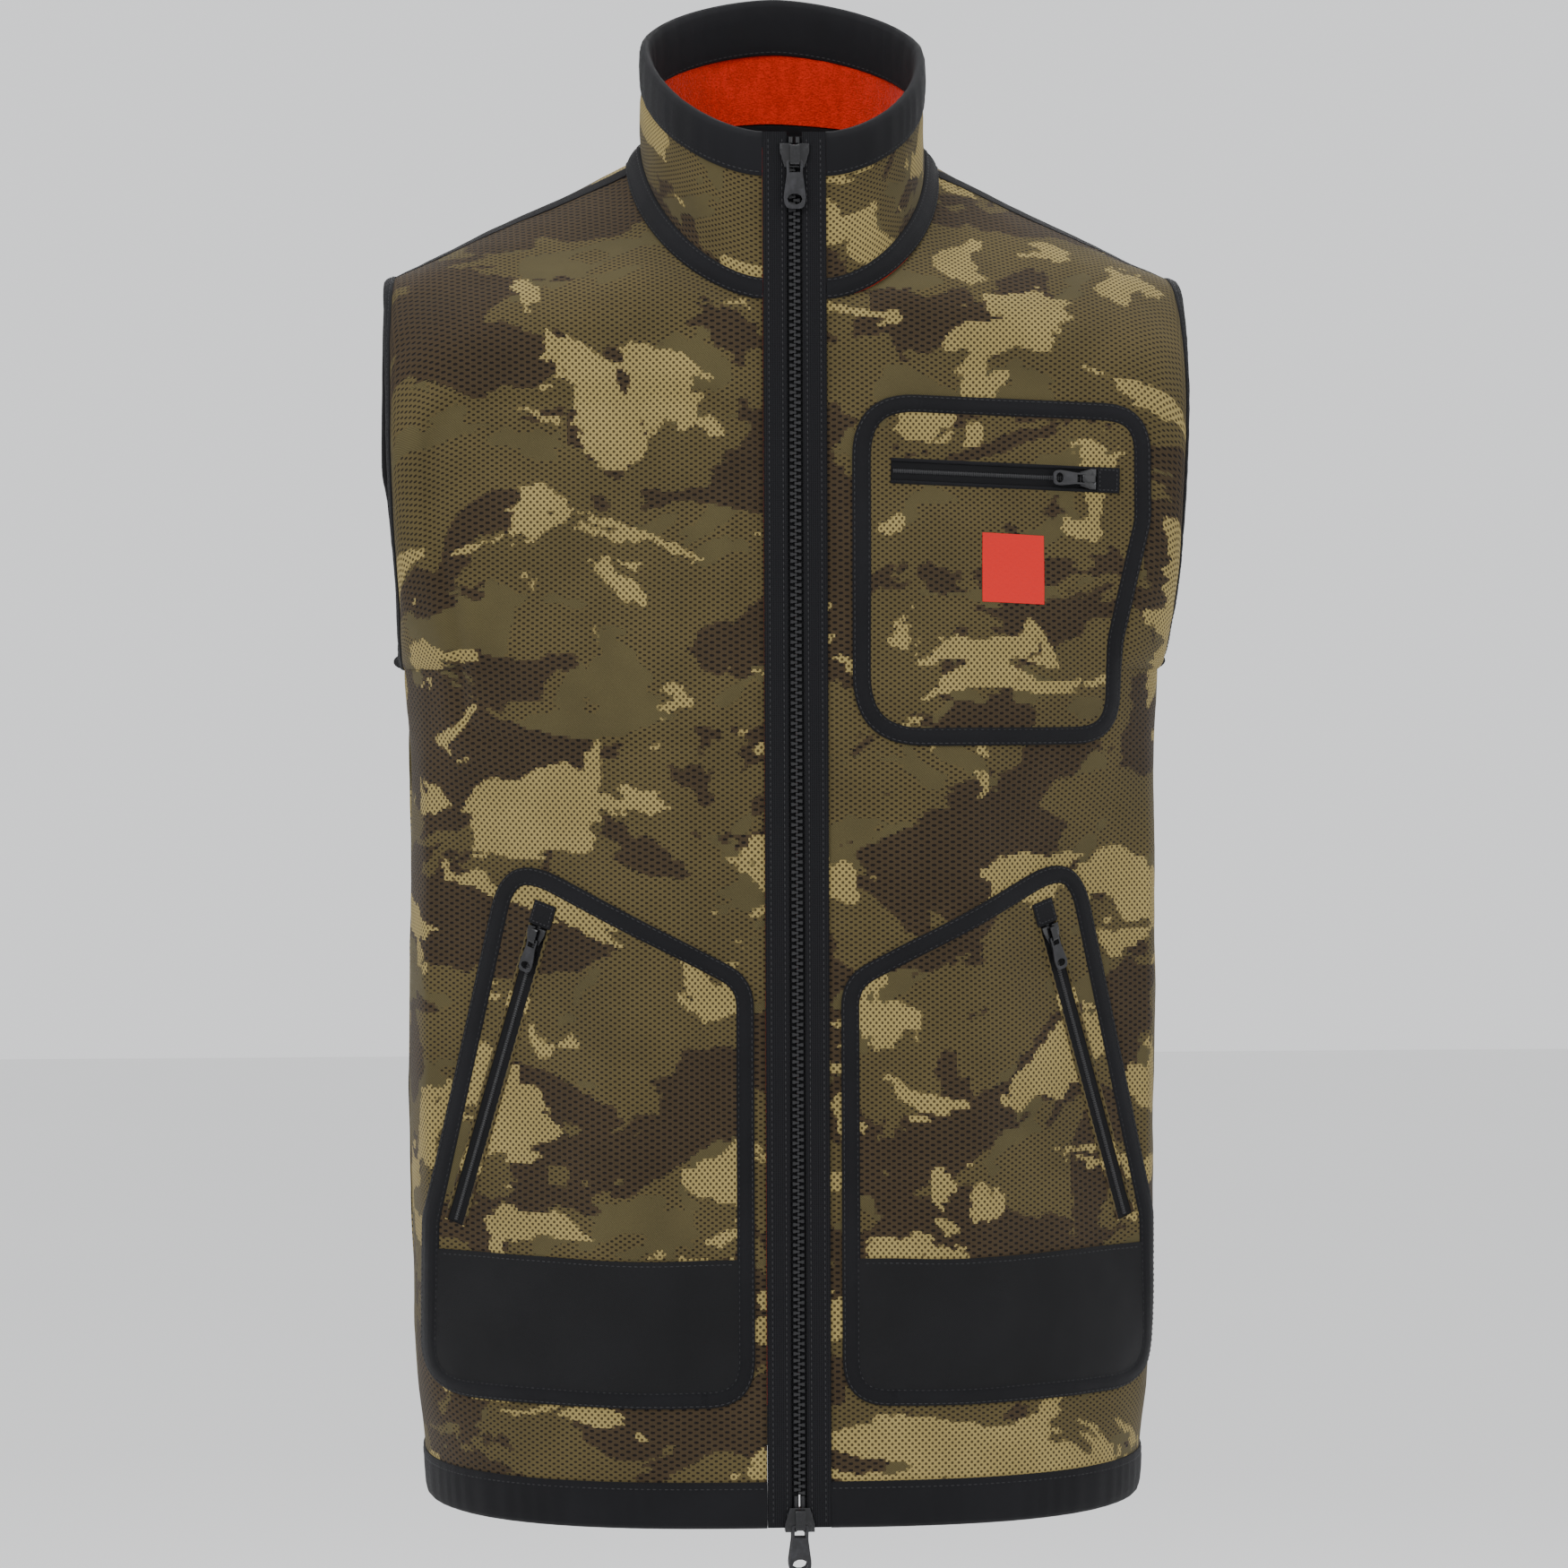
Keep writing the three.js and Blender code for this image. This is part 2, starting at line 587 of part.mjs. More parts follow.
function mainSlider(name, height, bothSides) {
  const group = new THREE.Group();
  group.position.z = height;
  if (bothSides) group.rotation.y = Math.PI;
  zipGroup.add(group);
  let solid = sliderPlate(frontPlate, -plateInner).add(sliderPlate(backPlate, backPlate + plateThickness));
  solid = solid.add(toSolid(box(-postHalf, postHalf, -plateInner - weld, backPlate + weld, -plateNotch,
    postLength - plateNotch)));
  solid = solid.add(sliderCrown(frontPlate, -1));
  if (bothSides) solid = solid.add(sliderCrown(backPlate + plateThickness, 1));
  addMesh(name, fromSolid(solid), "pull", group);
}
function mainPull(name, sliderHeight, depth, upright) {
  const group = new THREE.Group();
  group.name = name + "_hinge";
  group.position.set(0, depth, sliderHeight - pullDrop);
  if (upright) group.rotation.x = zipLean;
  zipGroup.add(group);
  addMesh(name, pullGeometry(), "pull", group);
}
mainSlider("top_slider", topSliderAt, false);
mainPull("top_pull", topSliderAt, -pullDepth, false);
mainSlider("bottom_slider", bottomSliderAt, true);
mainPull("bottom_front_pull", bottomSliderAt, -pullDepth, false);
mainPull("bottom_back_pull", bottomSliderAt, backPlate + plateThickness + crownClear / 2, true);

// A point of a pocket zip on the flat that the front is worked to, and the flat's outward direction.
const planePoint = ([x, z], plane, side) =>
  vec(x * side, zipDepth(z) + plane.start + plane.slope * (x - plane.at), z);
const planeFacing = (plane, side) => vec(side * plane.slope, -1, Math.tan(zipLean)).normalize();

// The frame of a pocket zip: x from its closed end to its open end, -y out of the pocket's face.
function zipFrame(line, plane, side, lift, inward) {
  const facing = planeFacing(plane, side);
  const from = planePoint(line[0], plane, side).addScaledVector(facing, lift);
  const to = planePoint(line[1], plane, side).addScaledVector(facing, lift);
  const x = to.clone().sub(from).normalize();
  const y = facing.clone().multiplyScalar(inward ? 1 : -1);
  const z = x.clone().cross(y);
  const matrix = new THREE.Matrix4().makeBasis(x, y, z).setPosition(from);
  return { matrix, length: to.distanceTo(from) };
}

const slotBox = (frame) =>
  toSolid(box(slotEnd - garageLength, frame.length + gap, -slotReach, slotDepth, -slotHalf, slotHalf), frame.matrix);

// Tape, coil, garage, slider and pull of a pocket zip.
function pocketZip(name, frame, withCoil) {
  const group = new THREE.Group();
  group.applyMatrix4(frame.matrix);
  vest.add(group);
  const tapeHalf = slotHalf - gap;
  const tapeBack = -gap - 0.1;
  const tapeFace = tapeBack - pocketTapeThickness;
  addMesh(name + "_zip_tape", box(1 - garageLength, frame.length, tapeFace, tapeBack, -tapeHalf, tapeHalf),
    "trim", group);
  const coilFace = withCoil ? tapeFace - gap - coilThickness : tapeFace;
  if (withCoil) {
    addMesh(name + "_zip_coil", box(gap, frame.length - 1, coilFace, tapeFace - gap, -coilHalf, coilHalf),
      "zip", group);
    const garageFace = -gap - panelThickness - gap;
    addMesh(name + "_zip_garage", box(-garageLength, 0, garageFace - garageThickness, garageFace, -garageHalf, garageHalf),
      "trim", group);
  }
  const sliderGroup = new THREE.Group();
  const start = (pocketSliderScale * sliderLength) / 2 + 1;
  const turn = new THREE.Matrix4().makeBasis(vec(0, 0, 1), vec(0, 1, 0), vec(-1, 0, 0));
  const small = new THREE.Matrix4().makeScale(pocketSliderScale, pocketSliderScale, pocketSliderScale);
  sliderGroup.applyMatrix4(turn.clone().setPosition(start, coilFace - gap, 0));
  group.add(sliderGroup);
  const body = sliderPlate(-plateThickness, 0).add(sliderCrown(-plateThickness, -1));
  addMesh(name + "_zip_slider", fromSolid(body).applyMatrix4(small), "pull", sliderGroup);
  const hinge = new THREE.Group();
  hinge.name = name + "_zip_pull_hinge";
  hinge.position.set(0, -pocketSliderScale * (plateThickness + crownClear / 2), -pocketSliderScale * pullDrop);
  sliderGroup.add(hinge);
  addMesh(name + "_zip_pull", pullGeometry().applyMatrix4(small), "pull", hinge);
}

// A patch pocket: its panel with the zip's slot, and the binding round it.
const layerOver = (cells, low, thickness) => toSolid(clothSolid(cells, low + thickness, low));
function patchPocket(name, cells, corners, side, frame) {
  const outline = roundedOutline(corners).map((p) => new THREE.Vector2(p.x * side, p.y));
  const inner = insetOutline(outline, pocketBinding);
  const cloth = layerOver(cells, gap, panelThickness);
  const panel = cloth.intersect(prism(insetOutline(outline, pocketBinding + gap))).subtract(slotBox(frame));
  addMesh(name + "_panel", fromSolid(panel), "shell");
  const rim = layerOver(cells, gap, panelThickness + bindingProud);
  addMesh(name + "_binding", fromSolid(rim.intersect(prism(outline)).subtract(prism(inner))), "trim");
  return inner;
}

const overPanel = gap + panelThickness + gap;
for (const side of [1, -1]) {
  const hand = side > 0 ? "left" : "right";
  const name = hand + "_hand_pocket";
  const frame = zipFrame(handPocketZip, hipPlane, side, 0, false);
  const inner = patchPocket(name, frontCells[hand], handPocket, side, frame);
  pocketZip(name, frame, true);
  const below = prism([[0, 0], [side * 2 * frontDepth, 0], [side * 2 * frontDepth, reinforcementTop],
    [0, reinforcementTop]].map(([x, z]) => new THREE.Vector2(x, z)));
  const cover = layerOver(frontCells[hand], overPanel, patchThickness);
  const sheet = cover.intersect(prism(insetOutline(inner, gap))).intersect(below);
  addMesh(name + "_reinforcement", fromSolid(sheet), "trim");
}

const chestFrame = zipFrame(chestPocketZip, chestPlane, 1, 0, false);
patchPocket("chest_pocket", frontCells.left, chestPocket, 1, chestFrame);
pocketZip("chest_pocket", chestFrame, true);
const [patchX, patchZ] = patchCentre;
const [patchW, patchH] = patchHalf;
const patchOutline = roundedOutline([[patchX - patchW, patchZ - patchH, 2], [patchX + patchW, patchZ - patchH, 2],
  [patchX + patchW, patchZ + patchH, 2], [patchX - patchW, patchZ + patchH, 2]], 2);
const patchCloth = layerOver(frontCells.left, overPanel, patchThickness);
addMesh("chest_patch", fromSolid(patchCloth.intersect(prism(patchOutline))), "patch");

// The pocket of the orange side, sewn to the lining of the wearer's right chest, with its own zip.
const innerFrame = zipFrame(chestPocketZip, chestPlane, -1, liningInner, true);
const innerOutline = roundedOutline(chestPocket).map((p) => new THREE.Vector2(-p.x, p.y));
const innerCloth = layerOver(frontCells.right, liningInner - gap - panelThickness, panelThickness);
addMesh("inner_pocket_panel", fromSolid(innerCloth.intersect(prism(innerOutline)).subtract(slotBox(innerFrame))),
  "fleece");
pocketZip("inner_pocket", innerFrame, false);

vest.position.set(0, -neckSideDepth, -sideNeck);
const model = new THREE.Group();
model.add(vest);
export default model;
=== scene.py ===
import math

import bmesh
import bpy
import numpy as np
from mathutils import Matrix, Vector, noise
from mathutils.bvhtree import BVHTree


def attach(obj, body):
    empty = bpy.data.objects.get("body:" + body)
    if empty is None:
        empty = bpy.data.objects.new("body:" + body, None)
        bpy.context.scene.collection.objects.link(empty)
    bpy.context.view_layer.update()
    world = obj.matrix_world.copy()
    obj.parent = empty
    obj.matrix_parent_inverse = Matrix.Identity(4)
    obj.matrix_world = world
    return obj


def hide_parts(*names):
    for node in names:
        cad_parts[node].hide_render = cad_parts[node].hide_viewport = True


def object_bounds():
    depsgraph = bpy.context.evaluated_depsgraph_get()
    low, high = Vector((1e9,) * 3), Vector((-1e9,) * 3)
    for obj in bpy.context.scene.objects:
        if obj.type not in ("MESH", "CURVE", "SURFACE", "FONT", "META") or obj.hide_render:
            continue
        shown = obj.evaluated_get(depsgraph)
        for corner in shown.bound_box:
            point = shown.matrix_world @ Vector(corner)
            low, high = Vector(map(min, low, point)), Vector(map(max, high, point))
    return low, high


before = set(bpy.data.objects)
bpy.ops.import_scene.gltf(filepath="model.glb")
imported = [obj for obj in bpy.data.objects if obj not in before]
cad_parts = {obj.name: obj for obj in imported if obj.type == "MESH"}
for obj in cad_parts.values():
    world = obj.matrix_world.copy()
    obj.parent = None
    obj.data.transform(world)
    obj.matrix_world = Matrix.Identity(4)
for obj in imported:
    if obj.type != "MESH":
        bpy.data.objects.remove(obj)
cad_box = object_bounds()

# --- Studio ---------------------------------------------------------------------------------------
# A pale floor and a pale surround with soft lamps, and the camera a little to the wearer's right of
# the zip, at chest height, looking slightly down.
view_target = Vector((-0.0063, -0.105, -0.317))
view_distance = 2.4
view_swing = math.radians(-4)
view_rise = 0.095
camera = bpy.data.objects.new("camera", bpy.data.cameras.new("camera"))
bpy.context.collection.objects.link(camera)
camera.data.lens = 109.7
camera.data.sensor_width = 36
camera.location = view_target + Vector((
    math.sin(view_swing) * view_distance, -math.cos(view_swing) * view_distance, view_rise))
camera.rotation_euler = (view_target - camera.location).to_track_quat("-Z", "Y").to_euler()
bpy.context.scene.camera = camera


def softbox(name, place, size, power):
    lamp = bpy.data.lights.new(name, "AREA")
    lamp.shape = "RECTANGLE"
    lamp.size, lamp.size_y = size
    lamp.energy = power
    holder = bpy.data.objects.new(name, lamp)
    holder.location = place
    holder.rotation_euler = (Vector((0, 0, -0.3)) - Vector(place)).to_track_quat("-Z", "Y").to_euler()
    bpy.context.collection.objects.link(holder)


softbox("key_light", (-1.6, -2.2, 1.5), (1.2, 1.2), 44)
softbox("fill_light", (2.0, -2.0, 0.4), (1.6, 1.8), 14)
softbox("top_light", (0.1, 0.3, 2.1), (1.2, 1.2), 26)
softbox("back_light", (0.4, 2.4, 0.9), (1.6, 1.6), 24)

surround = bpy.data.worlds.new("surround")
surround.use_nodes = True
surround.node_tree.nodes["Background"].inputs["Color"].default_value = (0.97, 0.98, 1.0, 1)
surround.node_tree.nodes["Background"].inputs["Strength"].default_value = 1.15
bpy.context.scene.world = surround

floor_drop = 0.62
floor_half = 9
floor = bpy.data.objects.new("floor", bpy.data.meshes.new("floor"))
floor_low = cad_box[0][2] - floor_drop
floor.data.from_pydata(
    [(-floor_half, -floor_half, floor_low), (floor_half, -floor_half, floor_low),
     (floor_half, floor_half, floor_low), (-floor_half, floor_half, floor_low)], [], [(0, 1, 2, 3)])
bpy.context.collection.objects.link(floor)


class Wires:
    """Places nodes in one tree; a value is a number, a tuple or another node's output."""

    def __init__(self, tree):
        self.tree = tree

    def place(self, kind, out=0, inputs=(), **settings):
        node = self.tree.nodes.new(kind)
        for key, value in settings.items():
            setattr(node, key, value)
        for key, value in dict(inputs).items():
            self.feed(node.inputs[key], value)
        return node.outputs[out]

    def feed(self, socket, value):
        if isinstance(value, bpy.types.NodeSocket):
            self.tree.links.new(value, socket)
        elif value is not None:
            socket.default_value = value

    def maths(self, what, a, b=None, c=None):
        return self.place("ShaderNodeMath", 0, enumerate((a, b, c)), operation=what)

    def vector(self, what, a, b=None, c=None):
        return self.place("ShaderNodeVectorMath", 0, enumerate((a, b, c)), operation=what)

    def blend(self, share, a, b):
        node = self.tree.nodes.new("ShaderNodeMix")
        node.data_type = "RGBA"
        for key, value in ((0, share), (6, a), (7, b)):
            self.feed(node.inputs[key], value)
        return node.outputs[2]

    def step(self, value, low, high, bottom=0.0, top=1.0):
        return self.place("ShaderNodeMapRange", 0, enumerate((value, low, high, bottom, top)),
                          interpolation_type="SMOOTHSTEP")

    def speckle(self, where, scale, detail=2.0, rough=0.5):
        return self.place("ShaderNodeTexNoise", 0, {"Vector": where, "Scale": scale, "Detail": detail,
                                                    "Roughness": rough}, noise_dimensions="3D")


def shade_group(name, inputs, outputs):
    """A shader node group with named sockets: (tree, its wires, its input node, its output node)."""
    tree = bpy.data.node_groups.new(name, "ShaderNodeTree")
    for label, kind, value in inputs:
        socket = tree.interface.new_socket(label, in_out="INPUT", socket_type="NodeSocket" + kind)
        if value is not None:
            socket.default_value = value
    for label, kind in outputs:
        tree.interface.new_socket(label, in_out="OUTPUT", socket_type="NodeSocket" + kind)
    source = tree.nodes.new("NodeGroupInput")
    sink = tree.nodes.new("NodeGroupOutput")
    return tree, Wires(tree), source.outputs, sink.inputs


def finish_of(name, rough=0.9, sheen=0.0, coat=0.0, metallic=0.0, gloss=0.16):
    """A material with one Principled shader: (material, its wires, the shader's inputs)."""
    made = bpy.data.materials.new(name)
    made.use_nodes = True
    shader = made.node_tree.nodes["Principled BSDF"]
    shader.inputs["Roughness"].default_value = rough
    shader.inputs["Sheen Weight"].default_value = sheen
    shader.inputs["Sheen Roughness"].default_value = 0.5
    shader.inputs["Coat Weight"].default_value = coat
    shader.inputs["Metallic"].default_value = metallic
    shader.inputs["Specular IOR Level"].default_value = gloss
    return made, Wires(made.node_tree), shader.inputs


def srgb(red, green, blue):
    """A colour as a paint chart gives it, 0 to 255, in the light values that shaders use."""
    chart = (red, green, blue)
    return tuple(((c / 255 + 0.055) / 1.055) ** 2.4 if c > 10 else c / 3295 for c in chart) + (1.0,)


floor_finish, wires, paint = finish_of("floor_paint", rough=0.75)
blotch = wires.speckle(wires.place("ShaderNodeTexCoord", "Object"), 0.9, 3)
wires.feed(paint["Base Color"], wires.blend(blotch, srgb(236, 236, 236), srgb(240, 240, 239)))
floor.data.materials.append(floor_finish)

# --- Front shells -----------------------------------------------------------------------------------
# The two fronts of the outside, cut in one piece each from camouflage knit with a brushed back. They
# are shaped over the chest, and take the zip, the pockets and the bindings. Millimetres above the hem.
hem_height = 22
armhole_base = 429
shoulder_tip = 632
neck_back_off = 5
side_neck = 689
collar_front = 700
front_depth = 132
zip_slope = 40 / 690
half_widths = [(0, 186), (100, 193), (250, 195), (400, 195), (429, 196)]
back_depths = [(0, 105), (250, 95), (430, 110), (540, 116), (640, 98), (708, 66)]
armhole_half_depth = 66
shoulder_x = 201
armhole_bow = 4.5
shell_edge = 16.1
row_shares = [0, 0.13, 0.253, 0.491, 0.732, 0.867, 1]
low_rows = [0] + [hem_height + share * (armhole_base - hem_height) for share in row_shares]
base_row, neck_row, top_row = 7, 11, 15
shell_thick = 1.2
# How square the fronts and the back are in plan at the hem, and how round they become at the shoulder.
front_square, back_square, shoulder_round = 2.6, 2.3, 1.3
# The flats that the pocket zips lie on: how far behind the zip's plane they start, where, and their slope.
chest_flat = (-3, 36, 0.2)
hip_flat = (11, 112, 0.62)
flat_margin = 24
# Across the front, where each flat starts, is full, starts to fade and ends; and the same in rows.
chest_reach, hip_reach = (0, 0.1, 0.84, 1), (0.15, 0.535, 0.94, 1)
chest_rows = (base_row - 0.5, base_row + 2, neck_row, neck_row + 2.5)


def through(pairs, at):
    """The value at a place on a smooth curve through (place, value) pairs."""
    last = len(pairs) - 1
    k = 0
    while k < last - 1 and at > pairs[k + 1][0]:
        k += 1

    def slope(i):
        a, b = pairs[max(i - 1, 0)], pairs[min(i + 1, last)]
        return (b[1] - a[1]) / (b[0] - a[0])

    (x0, y0), (x1, y1) = pairs[k], pairs[k + 1]
    t = (at - x0) / (x1 - x0)
    near = (1 + 2 * t) * (1 - t) ** 2 * y0 + t * t * (3 - 2 * t) * y1
    return near + (t * (1 - t) ** 2 * slope(k) - t * t * (1 - t) * slope(k + 1)) * (x1 - x0)


def zip_depth(height):
    return height * zip_slope - front_depth


def mixed(a, b, share):
    return a + (b - a) * share


neck_dip = 0.85


def neck_quarter(centre, side, share):
    """A quarter of a line round the neck, from its centre point to its side point."""
    turn = share * math.pi / 2
    drop = 1 - math.cos(turn)
    return (mixed(centre[0], side[0], math.sin(turn)), mixed(centre[1], side[1], drop),
            mixed(centre[2], side[2], drop ** neck_dip))


def neck_line(heights, rise, half, back_at):
    """A line round the neck, by its points at the zip, at the side and at the back."""
    front, side, back = (height + rise for height in heights)
    return ((shell_edge, zip_depth(front), front), (half, -neck_back_off, side), (0, back_at, back))


neck_seam = (616, side_neck, 708)
collar_top = (collar_front, 752, 784)
neck_binding_high, collar_band_high = 10.5, 22
neck_lines = [neck_line(neck_seam, 0, 81, 66), neck_line(neck_seam, neck_binding_high, 74, 60),
              neck_line(collar_top, -collar_band_high, 73, 58), neck_line(collar_top, 0, 73, 58)]


def armhole_point(turn, way):
    middle = (armhole_base + shoulder_tip) / 2
    return (mixed(half_widths[-1][1], shoulder_x, (1 - math.cos(turn)) / 2) + armhole_bow * math.sin(turn),
            way * armhole_half_depth * math.sin(turn),
            middle - (shoulder_tip - armhole_base) / 2 * math.cos(turn))


def low_height(row):
    return np.interp(row, range(base_row + 1), low_rows)


def inner_edge(row, way):
    front, side, back = neck_lines[0]
    top = front if way < 0 else back
    if row >= neck_row:
        return neck_quarter(top, side, (row - neck_row) / (top_row - neck_row))
    climb = (row - base_row) / (neck_row - base_row)
    height = low_height(row) if row <= base_row else mixed(armhole_base, top[2], climb)
    if way < 0:
        return (shell_edge, zip_depth(height), height)
    return (0, through(back_depths, height), height)


def outer_edge(row, way):
    if row > base_row:
        return armhole_point((row - base_row) / (top_row - base_row) * math.pi, way)
    height = low_height(row)
    return (through(half_widths, height), 0, height)


def eased(at, low, high):
    t = min(max((at - low) / (high - low), 0), 1)
    return t * t * (3 - 2 * t)


def hump(at, a, b, c, d):
    return eased(at, a, b) * (1 - eased(at, c, d))


def cloth_point(share, row, way):
    """The shell's outer face: share from the centre to the side, row from the hem to the shoulder. The way
    is -1 in front and 1 behind. Everywhere, a side is 1 on the wearer's left and -1 on the right."""
    inner, outer = inner_edge(row, way), outer_edge(row, way)
    lift = max(0, (row - base_row) / (top_row - base_row))
    power = mixed(front_square if way < 0 else back_square, shoulder_round, lift)
    turned = 1 - (1 - share ** power) ** (1 / power)
    x, z = mixed(inner[0], outer[0], share), mixed(inner[2], outer[2], share)
    y = mixed(inner[1], outer[1], turned)
    if way < 0:
        chest_share = hump(row, *chest_rows) * hump(share, *chest_reach)
        hip_share = hump(z, hem_height, hand_zip[1][1] - flat_margin, hand_zip[0][1] + flat_margin,
                         armhole_base) * hump(share, *hip_reach)
        for (start, at, slope), flatness in ((chest_flat, chest_share), (hip_flat, hip_share)):
            y = mixed(y, zip_depth(z) + start + slope * (x - at), flatness)
    return (x, y, z)


def to_frame(points):
    """Millimetres above the hem to metres in the part's frame."""
    return (np.asarray(points, float) + (0, neck_back_off, -side_neck)) * 0.001


def facings(grid):
    """The unit normals of a (column, row) grid, outwards if it runs left to right and bottom to top."""
    across = np.gradient(grid, axis=0)
    up = np.gradient(grid, axis=1)
    n = np.cross(across, up)
    return n / np.maximum(np.linalg.norm(n, axis=2, keepdims=True), 1e-9)


# The pocket outlines and zips, which the fronts' puckers and folds keep clear of.
hand_outline = [(22, 60, 24), (22, 275, 24), (146, 339, 24), (188, 148, 30), (189, 60, 26)]
chest_outline = [(28.5, 569, 32), (28.5, 391, 36), (168, 391, 34), (169, 443, 40), (184, 505, 40),
                 (184, 564, 26)]
hand_zip = ((128, 300), (171, 148))
chest_zip = ((155, 525.5), (48, 529.5))


def rounded_outline(corners, steps=12):
    """A closed outline with rounded corners, as an (n, 2) array."""
    found = []
    for k, (x, z, radius) in enumerate(corners):
        corner = np.array((x, z), float)
        before = np.array(corners[k - 1][:2], float) - corner
        after = np.array(corners[(k + 1) % len(corners)][:2], float) - corner
        far = min(np.linalg.norm(before), np.linalg.norm(after)) * 0.48
        before /= np.linalg.norm(before)
        after /= np.linalg.norm(after)
        angle = math.acos(np.clip(before @ after, -1, 1))
        cut = min(radius / math.tan(angle / 2), far)
        start, end = corner + before * cut, corner + after * cut
        for t in np.linspace(0, 1, steps):
            found.append((1 - t) ** 2 * start + 2 * t * (1 - t) * corner + t * t * end)
    return np.array(found)


def evened(outline, count):
    """The closed outline again, with this many equally spaced points."""
    closed = np.vstack([outline, outline[:1]])
    run = np.concatenate([[0], np.cumsum(np.linalg.norm(np.diff(closed, axis=0), axis=1))])
    at = np.linspace(0, run[-1], count, endpoint=False)
    return np.stack([np.interp(at, run, closed[:, k]) for k in (0, 1)], axis=1)


def inset(outline, distance):
    """The outline moved inwards."""
    ahead, behind = np.roll(outline, -1, 0), np.roll(outline, 1, 0)
    along = ahead - behind
    along /= np.linalg.norm(along, axis=1, keepdims=True)
    turning = np.sum(outline[:, 0] * ahead[:, 1] - ahead[:, 0] * outline[:, 1])
    return outline + np.stack([-along[:, 1], along[:, 0]], 1) * distance * (1 if turning > 0 else -1)


zip_start, zip_end = -0.1, 1.05


def off_line(x, z, line):
    """How far a point lies from a straight zip, taken a little past both its ends."""
    (x0, z0), (x1, z1) = line
    along = ((x - x0) * (x1 - x0) + (z - z0) * (z1 - z0)) / ((x1 - x0) ** 2 + (z1 - z0) ** 2)
    t = min(max(along, zip_start), zip_end)
    return math.hypot(x - mixed(x0, x1, t), z - mixed(z0, z1, t))


inner_pocket_line = evened(rounded_outline(chest_outline), 220)
# Heights of the folds in millimetres: soft ones and their ripples, the drag under the arm, flutes above the
# hem, the crumpled face and its fine part, the zip's pucker, and the inner pocket's ridge and groove.
soft_fold, soft_ripple, arm_drag, hem_flute = 1.7, 0.8, 1.5, 0.9
crumple, fine_crumple, zip_pucker, ridge, groove = 0.35, 0.13, 0.45, 0.9, 1.7
zip_calm, hem_calm = (9, 26), 60


def relief(x, y, z, way, side):
    """How far the worn cloth stands off its cut shape: soft folds, puckered seams and the stitched outline
    of the pocket that hangs behind the wearer's right chest."""
    at = Vector((x * side * 0.011 + 7 * side, way * 3 + y * 0.006, z * 0.0075))
    folds = soft_fold * noise.noise(at) + soft_ripple * noise.noise(at * 2.3 + Vector((5, 1, 9)))
    drag = Vector((x * 0.028 - z * 0.011, side * 4 + way, z * 0.022 + x * 0.012))
    folds += arm_drag * noise.noise(drag) * eased(x, 110, 190) * hump(z, 330, 420, 470, 560)
    folds += hem_flute * noise.noise(Vector((x * 0.06, side * 2.0, z * 0.012))) * (1 - eased(z, 40, 150))
    small = Vector((x * 0.05, y * 0.05 + side * 11, z * 0.05))
    folds += crumple * noise.noise(small) + fine_crumple * noise.noise(small * 2.7)
    if way > 0:
        return folds * eased(z, hem_height, hem_calm)
    seam = x - shell_edge
    pucker = zip_pucker * math.sin(z * 0.42 + 2 * math.sin(z * 0.05) + side) * math.exp(-max(seam, 0) / 9)
    folds = folds * eased(seam, 0, 30) + pucker * eased(seam, 0, 3)
    calm = eased(off_line(x, z, hand_zip), *zip_calm) * eased(z, hem_height, hem_calm)
    calm *= eased(off_line(x, z, chest_zip), *zip_calm)
    folds *= calm
    if side < 0 and 380 < z < 580 and x > 20:
        gaps = inner_pocket_line - (x, z)
        k = int(np.argmin(np.einsum("ij,ij->i", gaps, gaps)))
        off = math.hypot(*gaps[k])
        folds += ridge * math.exp(-((off - 8) / 5) ** 2) - groove * math.exp(-(off / 3) ** 2)
    return folds


# Where the grid's rows and columns run: about 4.5 mm apart up to the armhole, and closer at the side.
low_count, high_count, share_count, side_crowding = 92, 65, 81, 1.45
fine_rows = list(np.interp(np.linspace(hem_height, armhole_base, low_count), low_rows, range(base_row + 1)))
fine_rows += list(np.linspace(base_row, top_row, high_count)[1:])
fine_shares = 1 - (1 - np.linspace(0, 1, share_count)) ** side_crowding
cut = {way: np.array([[cloth_point(s, r, way) for r in fine_rows] for s in fine_shares]) for way in (-1, 1)}


def weave_place(grid):
    """Each point's place in the cloth before it was sewn, in metres: across and up."""
    steps, climbs = np.diff(grid, axis=0), np.diff(grid, axis=1)
    across = np.cumsum(np.hypot(steps[..., 0], steps[..., 1]), 0)
    up = np.cumsum(np.hypot(climbs[..., 1], climbs[..., 2]), 1)
    u = np.concatenate([grid[:1, :, 0], grid[:1, :, 0] + across])
    v = np.concatenate([grid[:, :1, 2], grid[:, :1, 2] + up], 1)
    return np.stack([u, v], 2) * 0.001


def worn(way, side):
    """(points, normals, weave places) of one half of the shell's outer face, as worn, in millimetres."""
    grid = cut[way]
    outwards = facings(grid) * (1 if way < 0 else -1)
    lifts = np.array([[relief(*p, way, side) for p in column] for column in grid])
    grid = (grid + outwards * lifts[..., None]) * (side, 1, 1)
    normals = facings(grid) * (1 if way * side < 0 else -1)
    places = weave_place(cut[way]) * (side, 1) + (way * 0.37, 0)
    return grid, normals, places


